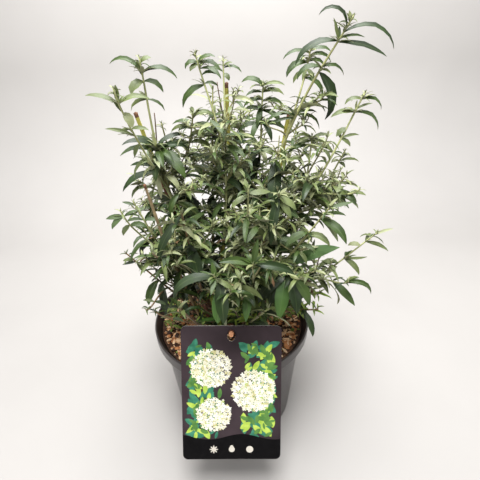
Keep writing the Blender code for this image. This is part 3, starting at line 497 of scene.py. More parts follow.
sign_x = np.array([-SIGN_STEP, 0.0, SIGN_STEP])
skins = print_skins(sign_x, np.full(3, SIGN_Y), sign_radius,
                    np.broadcast_to(sign_turn, (3, SIGN_POINTS)), SIGN_LAYER)
add_print("signs", shade(214, 208, 196), shade(198, 192, 180), skins)


# Woody stock and boughs
# The shrub's foot is a short brown stock with flaking, ridged bark, flared at the soil. Boughs
# fork from its head and sides, smoother and yellow-green to red-brown. Each is a path with rings
# round it, and the bark's ridges are worked into the rings.
STOCK_GAP = 0.0003
STOCK_FOOT = np.array([STOCK_X, STOCK_Y, COMPOST_TOP + COMPOST_CROWN + STOCK_GAP])
STOCK_LEAN = np.array([-0.0015, -0.0015])
STOCK_HEIGHT, STOCK_FLARE, STOCK_WAIST, STOCK_HEAD = 0.0330, 0.0125, 0.0098, 0.0104
STOCK_RINGS, STOCK_SIDES, FLARE_FADE, STOCK_RELIEF = 56, 80, 6.0, 0.0006
ROOT_LOBES, LOBE_DEPTH, LOBE_FADE, LOBE_TURN = 5, 0.0012, 0.006, 0.7
HEAD_RING = 0.0072
SIDE_RINGS = {"low": 0.0065, "mid": 0.0155, "high": 0.0250}
LIMB_TIP_RADIUS = 0.0016
LIMB_END = {"head": 0.27, "high": 0.27, "mid": 0.25, "low": 0.24}

# How strongly a bough leaves its foot and reaches its tip, and the same for a side shoot, which
# also lifts towards the light
BOUGH_LEAVES, BOUGH_ARRIVES = 0.55, 0.9
SIDE_LEAVES, SIDE_BEND, SIDE_LIFT, SIDE_ARRIVES = 0.5, 0.5, 0.7, 0.8

# Bark: how many waves make its ridges and how steep they are, how far along them each limb starts
# after the last, the slope from which a limb counts as upright, and the reach of its rounded ends
RIDGE_WAVES, RIDGE_STEEPNESS, LIMB_SHIFT, UPRIGHT, LIMB_CAP = 18, 1.6, 0.37, 0.6, 0.5

# A shoot: where its foot stands (ring, turn in degrees), its radius there, a point half way up,
# its tip, and its side shoots as (share of the leafy stem, tip)
SHOOTS = {
    "leader": ("head", 20, 0.0026, (0.061, 0.010, 0.341), (0.111, 0.020, 0.428),
               [(0.42, (0.082, 0.046, 0.404))]),
    "centre": ("head", 68, 0.0021, (0.030, 0.032, 0.282), (0.039, 0.045, 0.376), []),
    "back_top": ("head", 156, 0.0021, (-0.016, 0.066, 0.282), (-0.012, 0.098, 0.366),
                 [(0.42, (0.030, 0.110, 0.345))]),
    "left_centre": ("head", 258, 0.0021, (0.001, 0.004, 0.303), (-0.021, 0.022, 0.404),
                    [(0.34, (0.002, 0.046, 0.398))]),
    "far_left": ("head", 202, 0.0026, (-0.057, 0.004, 0.300), (-0.064, 0.000, 0.403),
                 [(0.26, (-0.080, -0.030, 0.384))]),
    "right_top": ("head", 328, 0.0024, (0.080, -0.008, 0.288), (0.122, 0.000, 0.371),
                  [(0.42, (0.117, -0.034, 0.298)), (0.36, (0.082, 0.012, 0.333))]),
    "left_upper": ("high", 150, 0.0022, (-0.046, 0.030, 0.258), (-0.058, 0.026, 0.346),
                   [(0.48, (-0.026, 0.008, 0.357))]),
    "left_mid": ("mid", 205, 0.0022, (-0.062, -0.022, 0.234), (-0.080, -0.032, 0.292),
                 [(0.41, (-0.084, -0.056, 0.294))]),
    "left_low": ("low", 198, 0.0022, (-0.056, -0.026, 0.186), (-0.096, -0.032, 0.240),
                 [(0.50, (-0.078, -0.060, 0.194))]),
    "right_mid": ("high", 356, 0.0022, (0.078, 0.012, 0.245), (0.114, 0.012, 0.318),
                  [(0.52, (0.124, 0.040, 0.280))]),
    "right_front": ("mid", 330, 0.0022, (0.050, -0.040, 0.226), (0.088, -0.052, 0.290),
                    [(0.39, (0.062, -0.080, 0.240))]),
    "right_low": ("low", 352, 0.0022, (0.082, -0.016, 0.186), (0.146, -0.018, 0.246),
                  [(0.47, (0.112, -0.052, 0.214))]),
    "low_front_left": ("low", 252, 0.0020, (-0.030, -0.046, 0.160), (-0.044, -0.074, 0.206),
                       [(0.35, (-0.072, -0.056, 0.190))]),
    "low_front_right": ("low", 292, 0.0020, (0.016, -0.044, 0.158), (0.036, -0.076, 0.204), []),
    "rim_right": ("low", 322, 0.0020, (0.052, -0.030, 0.160), (0.088, -0.046, 0.176), []),
    "front_top": ("high", 305, 0.0021, (0.016, -0.040, 0.250), (0.020, -0.068, 0.314),
                  [(0.44, (0.046, -0.046, 0.300))]),
    "front_low": ("mid", 298, 0.0021, (0.020, -0.056, 0.210), (0.022, -0.092, 0.262),
                  [(0.43, (-0.009, -0.092, 0.252))]),
    "left_front": ("mid", 236, 0.0021, (-0.030, -0.040, 0.224), (-0.034, -0.062, 0.294),
                   [(0.43, (-0.060, -0.070, 0.262))]),
    "back_left": ("mid", 130, 0.0022, (-0.064, 0.062, 0.234), (-0.082, 0.088, 0.318),
                  [(0.46, (-0.100, 0.076, 0.240))]),
    "back_right": ("mid", 42, 0.0022, (0.056, 0.062, 0.240), (0.080, 0.094, 0.322),
                   [(0.46, (0.106, 0.076, 0.276))]),
    "back_low_left": ("low", 112, 0.0021, (-0.044, 0.072, 0.182), (-0.066, 0.122, 0.226),
                      [(0.47, (-0.104, 0.086, 0.204))]),
    "back_low_right": ("low", 62, 0.0021, (0.034, 0.078, 0.184), (0.050, 0.130, 0.232),
                       [(0.47, (0.094, 0.104, 0.206))]),
}

# Limbs cut back last year: foot, foot radius, half-way point, cut end, radius at the cut
PRUNED = {
    "pruned_back_left": ("head", 112, 0.0023, (0.002, 0.050, 0.262), (0.004, 0.056, 0.376), 0.0019),
    "pruned_back_right": ("high", 26, 0.0024, (0.046, 0.026, 0.262), (0.063, 0.034, 0.350), 0.0020),
    "pruned_left": ("high", 186, 0.0022, (-0.056, 0.018, 0.262), (-0.078, 0.015, 0.358), 0.0018),
    "pruned_low_left": ("low", 226, 0.0017, (-0.048, -0.040, 0.226), (-0.063, -0.050, 0.314),
                        0.0011),
}


def unit(vectors):
    """The vectors at length one."""
    return vectors / np.linalg.norm(vectors, axis=-1, keepdims=True)


def stock_axis(height):
    """The stock's middle at heights above its foot: it leans between two upright ends."""
    share = np.asarray(height) / STOCK_HEIGHT
    lean = STOCK_LEAN * (share * share * (3 - 2 * share))[..., None]
    rise = (STOCK_FOOT[2] + np.asarray(height))[..., None]
    return np.concatenate([STOCK_FOOT[:2] + lean, rise], axis=-1)


def stock_radius(height):
    """The stock's radius: a flare that dies away upwards, and a slightly swollen head."""
    share = height / STOCK_HEIGHT
    flare = (STOCK_FLARE - STOCK_WAIST) * np.exp(-FLARE_FADE * share)
    return STOCK_WAIST + flare + (STOCK_HEAD - STOCK_WAIST) * share ** 3


def limb_foot(ring, turn, radius):
    """Where a limb starts on the stock, and the direction in which it leaves."""
    around = np.array([math.cos(turn), math.sin(turn), 0.0])
    if ring == "head":
        return stock_axis(STOCK_HEIGHT) + HEAD_RING * around, np.array([0.0, 0.0, 1.0])
    height = SIDE_RINGS[ring]
    return stock_axis(height) + stock_radius(height - radius) * around, around


def hermite(a, b, slope_a, slope_b, t):
    """The cubic from a to b with the two end slopes, at shares t."""
    t = np.asarray(t, float)[:, None]
    return ((2 * t**3 - 3 * t**2 + 1) * a + (t**3 - 2 * t**2 + t) * slope_a
            + (3 * t**2 - 2 * t**3) * b + (t**3 - t**2) * slope_b)


def shoot_path(foot, out, middle, tip, shares):
    """A smooth path from the foot through the half-way point to the tip, at shares 0 to 1."""
    middle, tip, shares = np.array(middle), np.array(tip), np.asarray(shares)
    through = (tip - foot) * 0.5
    leave = out * BOUGH_LEAVES * np.linalg.norm(middle - foot)
    arrive = (tip - middle) * BOUGH_ARRIVES
    lower = hermite(foot, middle, leave, through, np.clip(shares * 2, 0, 1))
    upper = hermite(middle, tip, through, arrive, np.clip(shares * 2 - 1, 0, 1))
    return np.where((shares < 0.5)[:, None], lower, upper)


def side_path(start, along, tip, shares):
    """A side shoot: it leaves along its stem's direction and bends out to its tip."""
    reach = np.linalg.norm(tip - start)
    bend = unit(tip - start) * SIDE_BEND + np.array([0, 0, SIDE_LIFT])
    leave = unit(SIDE_LEAVES * unit(along) + unit(tip - start)) * reach
    return hermite(start, tip, leave, unit(bend) * reach * SIDE_ARRIVES, shares)


def ridges(turn, reach, seed, finest, longest):
    """Bark relief between -1 and 1: waves that close round the limb and run along it.

    Each wave is cos(m t + k s + phase), with m whole, up to finest, and k up to longest. The sum
    goes through a soft limit, which flattens the ridges and the furrows.
    """
    roll = np.random.default_rng(seed)
    around = roll.integers(2, finest, RIDGE_WAVES)
    along = roll.uniform(-longest, longest, RIDGE_WAVES)
    phase = roll.uniform(0, 2 * math.pi, RIDGE_WAVES)
    total = np.cos(turn[..., None] * around + reach[..., None] * along + phase).sum(axis=-1)
    return np.tanh(RIDGE_STEEPNESS * total / math.sqrt(RIDGE_WAVES))


def tubes(paths, radii, sides, relief=0.0, seed=1, finest=7, longest=500.0):
    """Rings round many paths: middle + radius (a cos t + b sin t), with a and b square to them.

    paths is (limb, ring, xyz) and radii (limb, ring). relief is the bark's depth in metres. Each
    limb reads the relief from a place of its own, and closes a little beyond its ends.
    """
    along = unit(np.gradient(paths, axis=1))
    upright = np.abs(along[:, :, 2].mean(axis=1)) > UPRIGHT
    guide = np.where(upright[:, None], np.array([1.0, 0, 0]), np.array([0, 0, 1.0]))[:, None]
    first = unit(np.cross(guide, along))
    second = np.cross(along, first)
    turn = np.linspace(0, 2 * math.pi, sides, endpoint=False)
    steps = np.linalg.norm(np.diff(paths, axis=1, prepend=paths[:, :1]), axis=-1)
    shift = np.arange(len(paths))[:, None, None] * LIMB_SHIFT
    reach = np.cumsum(steps, axis=1)[..., None] + shift
    shape = (*radii.shape, sides)
    bark = ridges(np.broadcast_to(turn, shape), np.broadcast_to(reach, shape), seed, finest,
                  longest)
    radius = radii[..., None] + relief * bark
    rings = paths[:, :, None] + radius[..., None] * (first[:, :, None] * np.cos(turn)[:, None]
                                                     + second[:, :, None] * np.sin(turn)[:, None])
    starts = paths[:, 0] - along[:, 0] * radii[:, :1] * LIMB_CAP
    ends = paths[:, -1] + along[:, -1] * radii[:, -1:] * LIMB_CAP
    return rings, starts, ends


stock_heights = np.linspace(0, STOCK_HEIGHT, STOCK_RINGS)
stock_middle, stock_girth = stock_axis(stock_heights), stock_radius(stock_heights)
old_bark = finish("old_bark", shade(112, 76, 52), shade(72, 48, 34), grain=190.0,
                  roughness=0.88, relief=STOCK_RELIEF, relief_grain=500.0)
rings, starts, ends = tubes(stock_middle[None], stock_girth[None], STOCK_SIDES,
                            relief=STOCK_RELIEF, seed=8, finest=15, longest=420.0)
root_turn = np.linspace(0, 2 * math.pi, STOCK_SIDES, endpoint=False)
lobe_depth = LOBE_DEPTH * np.exp(-stock_heights / LOBE_FADE)[:, None]
lobes = lobe_depth * np.cos(ROOT_LOBES * root_turn + LOBE_TURN)
rings[0] += (lobes / stock_girth[:, None])[..., None] * (rings[0] - stock_middle[:, None])
stock = add_shapes("stock_bark", [old_bark], rings, starts, ends)
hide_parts("stock")

# Boughs, each in one of three young barks. A bough thickens to a collar at its foot, swells a
# little at each old leaf scar, and runs a few millimetres into the leafy stem that it carries.
BOUGH_RINGS, BOUGH_SIDES, BOUGH_OVERLAP = 44, 14, 0.005
BOUGH_COLLAR, COLLAR_FADE = 0.45, 0.05
NODE_SPACING, NODE_SWELL, NODE_WIDTH = 0.021, 0.28, 0.07
YOUNG_BARKS = {
    "olive": (shade(190, 186, 84), shade(154, 144, 66)),
    "russet": (shade(128, 74, 50), shade(98, 62, 44)),
    "drab": (shade(154, 134, 98), shade(118, 100, 72)),
}
BARK_OF = {
    "leader": "drab", "centre": "olive", "back_top": "drab", "left_centre": "olive",
    "far_left": "olive", "right_top": "olive", "left_upper": "drab", "left_mid": "olive",
    "left_low": "russet", "right_mid": "olive", "right_front": "drab", "right_low": "olive",
    "low_front_left": "russet", "low_front_right": "drab", "rim_right": "russet",
    "front_top": "olive", "front_low": "drab", "left_front": "russet", "back_left": "drab",
    "back_right": "olive", "back_low_left": "russet", "back_low_right": "drab",
}


def limb_radii(radius, end_radius, rings, collar, fade, length):
    """Radii up a limb: an even taper, a collar that dies away, and a swelling at each scar."""
    share = np.linspace(0, 1, rings)
    thick = radius + (end_radius - radius) * share + radius * collar * np.exp(-share / fade)
    place = (share * length / NODE_SPACING) % 1.0 - 0.5
    return thick * (1 + NODE_SWELL * np.exp(-(place / NODE_WIDTH) ** 2))


bough_paths, bough_radii, feet = [], [], {}
for name, (ring, turn, radius, middle, tip, _) in SHOOTS.items():
    feet[name] = foot, out = limb_foot(ring, math.radians(turn), radius)
    shares = np.linspace(0, LIMB_END[ring] + BOUGH_OVERLAP, BOUGH_RINGS)
    path = shoot_path(foot, out, middle, tip, shares)
    bough_paths.append(path)
    bough_radii.append(limb_radii(radius, LIMB_TIP_RADIUS, BOUGH_RINGS, BOUGH_COLLAR, COLLAR_FADE,
                                  np.linalg.norm(path[-1] - path[0])))
bough_paths, bough_radii = np.array(bough_paths), np.array(bough_radii)
bough_bark = np.array([BARK_OF[name] for name in SHOOTS])
young_barks = {kind: finish("bark_" + kind, *colours, grain=120.0, roughness=0.68,
                            relief=0.00015, relief_grain=1100.0)
               for kind, colours in YOUNG_BARKS.items()}
for kind, bark in young_barks.items():
    mine = bough_bark == kind
    boughs = add_shapes("boughs_" + kind, [bark],
                        *tubes(bough_paths[mine], bough_radii[mine], BOUGH_SIDES,
                               relief=0.00012, seed=4))
    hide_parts(*(name + "_bough" for name in SHOOTS if BARK_OF[name] == kind))

# Limbs cut back: yellow-green, drab, or brown below and yellow-green above, with a dead brown end.
# A row names the piece, the bark, the limbs and how many of the lowest rings are brown.
CUT_RINGS, CUT_COLLAR, CUT_FADE, CUT_LENGTH, DEAD_RINGS = 90, 0.4, 0.02, 0.24, 3
CUT_KINDS = [("olive", "olive", slice(0, 2), 0), ("brown", "olive", slice(2, 3), 60),
             ("drab", "drab", slice(3, 4), 0)]
pruned_paths, pruned_radii = [], []
for name, (ring, turn, radius, middle, end, end_radius) in PRUNED.items():
    foot, out = limb_foot(ring, math.radians(turn), radius)
    pruned_paths.append(shoot_path(foot, out, middle, end, np.linspace(0, 1, CUT_RINGS)))
    pruned_radii.append(limb_radii(radius, end_radius, CUT_RINGS, CUT_COLLAR, CUT_FADE, CUT_LENGTH))
pruned_paths, pruned_radii = np.array(pruned_paths), np.array(pruned_radii)
dead_wood = finish("dead_wood", shade(122, 84, 56), shade(84, 56, 40), grain=200.0,
                   roughness=0.85, relief=0.0002)
for kind, bark, mine, brown_rings in CUT_KINDS:
    cut_dress = np.zeros((CUT_RINGS, BOUGH_SIDES), int)
    cut_dress[-DEAD_RINGS:] = 1
    cut_dress[:brown_rings] = 2
    pruned = add_shapes("pruned_" + kind, [young_barks[bark], dead_wood, young_barks["russet"]],
                        *tubes(pruned_paths[mine], pruned_radii[mine], BOUGH_SIDES,
                               relief=0.0001, seed=6), dress=cut_dress)
    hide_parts(*list(PRUNED)[mine])

# The cut stem that the card hangs on: out of the stock, bent to the hole and straight through it,
# with a pale slanting cut at its end
STUB_RADIUS, STUB_PROUD, STUB_GAP, STUB_SHRINK = 0.0025, 0.0045, 0.0004, 0.0001
STUB_TURN, STUB_SIDES, STUB_BENT, STUB_STRAIGHT = math.radians(266), 20, 30, 10
STUB_BACK, STUB_LEAD, STUB_REACH, STUB_ANGLE = -0.006, 0.010, 0.05, 40
SLANT_MOST, SLANT = 0.002, 0.7
rest_height = hole_middle[1] + HOLE_HEIGHT / 2 - STUB_RADIUS - STUB_GAP
stub_rest = on_card(np.array([0.0]), np.array([rest_height]), 0.0)[0]
foot, out = limb_foot("mid", STUB_TURN, STUB_RADIUS)
stub = hermite(foot, stub_rest - card_out * STUB_LEAD, out * STUB_REACH, card_out * STUB_REACH,
               np.linspace(0, 1, STUB_BENT))
straight = np.linspace(STUB_BACK, STUB_PROUD, STUB_STRAIGHT)[:, None]
stub = np.vstack([stub, stub_rest + card_out * straight])
stub_radii = np.full((1, len(stub)), STUB_RADIUS - STUB_SHRINK)
rings, starts, ends = tubes(stub[None], stub_radii, STUB_SIDES, relief=0.0001, seed=9)
slant = (rings[0, -1] - stub[-1]) @ np.array([0, 0, 1.0])
rings[0, -1] -= np.outer(np.clip(slant, -SLANT_MOST, SLANT_MOST) * SLANT, card_out)
ends[0] = stub[-1]
stub_dress = np.zeros((len(stub), STUB_SIDES), int)
stub_dress[-1] = 1
cut_wood = finish("cut_wood", shade(206, 150, 110), shade(176, 116, 78), grain=300.0,
                  roughness=0.8, relief=0.0002)
card_stem = add_shapes("card_stem_bark", [young_barks["russet"], cut_wood], rings, starts, ends,
                       dress=stub_dress, sharp=STUB_ANGLE)
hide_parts("card_stem")


# Leafy shoots
# On each bough grows a leafy stem with its side shoots, and in the leaf axils fine twigs or tufts.
# The stems are downy and yellow-green, browner low down. Leaves come in opposite pairs, each a
# quarter turn from the last, and every tip ends in a cluster of young leaves.
STEM_SHARE, STEM_END, SIDE_SHARE = 0.58, 0.0007, 0.76
STEM_RINGS, STEM_SIDES = 34, 9

# Leaf pairs. Two values in brackets are those at a stem's foot and tip, or the least and the most
# that chance gives. Angles of rise and fall are in degrees, turns and rolls in radians.
FIRST_PAIR, PAIR_SPACING = 0.006, (0.0210, 0.0130)
LEAF_LENGTH, SLENDERNESS = (0.040, 0.026), (0.22, 0.17)
PAIR_TURN, LEAF_TURN, LEAF_ROLL = 0.8, 0.45, 0.45
LEAF_SIZE, LEAF_WIDTH = (0.72, 1.18), (0.8, 1.25)
LEAF_RISE, RISE_TO_TIP, LEAF_FALL, LIFT_TO_TIP = (-18, 42), 18, (35, 118), 20
TIP_ROOM, STEM_YOUTH, YOUTH_TO_TIP = 0.45, 0.05, 0.45
BARE_BOUGH, BOUGH_LEAF, BOUGH_YOUTH = 0.35, (0.030, 0.040), -0.25
LOWEST_PITCH = -120

# Fine twigs and tufts in the axils: chances, lengths, and how a twig leaves, forks and ends
TWIG_CHANCE, TWIG_LENGTH, TWIG_SIZE = (1.35, 0.0), (0.050, 0.016), (0.45, 1.2)
TWIG_RINGS, TWIG_SIDES, TWIG_START, TWIG_END = 8, 6, 0.0009, 0.0005
TWIG_SPACING, TWIG_LEAF, TWIG_FIRST = (0.0105, 0.0065), (0.026, 0.018), 0.3
TWIG_TURN, TWIG_PITCH, TWIG_YOUTH = 0.5, (0.1, 1.2), 0.1
FORK_CHANCE, FORK_LENGTH, FORK_SIZE = 0.45, 0.024, 0.4
TWIG_CLUSTER, SMALLEST_CLUSTER, TWIG_TIP_YOUTH = (0.8, 1.2), 0.6, 0.3
TUFT_TURNS, TUFT_STRAY, TUFT_LEAF, TUFT_SIZE = (-0.9, 0.8, 0.1), 0.4, 0.011, (0.6, 1.4)
TUFT_RISE, TUFT_FALL, TUFT_SLENDER, TUFT_YOUTH = (25, 70), (-50, 20), 0.25, 0.45
TUFTED_LEAF, SET_TUFT_YOUTH = 20, 0.5

# The pairs of a tip's cluster: length, root and tip pitch, how far below the tip, slenderness, and
# how far chance moves each leaf from that
CLUSTER = [(1.00, 26, -64, 0.46, 0.17), (0.82, 42, -50, 0.26, 0.18), (0.52, 64, -8, 0.10, 0.21),
           (0.28, 80, 50, 0.02, 0.27)]
CLUSTER_TURN, CLUSTER_RISE, CLUSTER_FALL, CLUSTER_ROLL = 0.35, 14, 24, 0.3
CLUSTER_SIZE, CLUSTER_WIDTH, CLUSTER_YOUTH, PAIR_YOUTH = (0.8, 1.15), (0.85, 1.15), 0.4, 0.12

# Shoots with fewer or more twigs than the rest, and shoots with paler or, below 0, darker leaves
THIN = {
    "leader": 0.7, "right_top": 1.4, "far_left": 0.7, "left_centre": 1.6, "rim_right": 0.5,
    "centre": 1.8, "low_front_left": 0.15, "low_front_right": 0.6, "left_low": 0.30,
    "left_mid": 0.6, "back_top": 1.5, "back_low_left": 0.6, "right_mid": 1.6, "right_front": 1.2,
}
PALER = {
    "right_low": 0.28, "front_top": 0.12, "left_mid": -0.05, "far_left": 0.10, "left_upper": 0.08,
    "left_centre": -0.04, "right_top": 0.11, "right_mid": 0.08,
}

# Bare brown twigs, left from last year on the feet of the boughs: how many on each, and how they
# stand. Twigs that start below BROWN_BELOW are brown.
BARE_TWIGS, BARE_PLACE, BARE_PITCH, BARE_LENGTH = 3, (0.25, 1.0), (0.1, 1.0), (0.016, 0.040)
BROWN_BELOW = 0.190

# The cut limbs have sprouted again, some more than others: how leafy they are, and up to where
REGROWTH, REGROWTH_TOP = [1.3, 1.0, 0.8, 0.4], [0.86, 0.74, 0.86, 0.86]
REGROWTH_START, REGROWTH_YOUTH = 0.45, -0.1

# Thin side twigs of the cut limbs, cut too: the limb, the share where they fork off, the cut end
CUT_TWIGS = [("pruned_back_left", 0.74, (-0.0048, 0.0500, 0.3777)),
             ("pruned_left", 0.72, (-0.0610, 0.0150, 0.3574))]

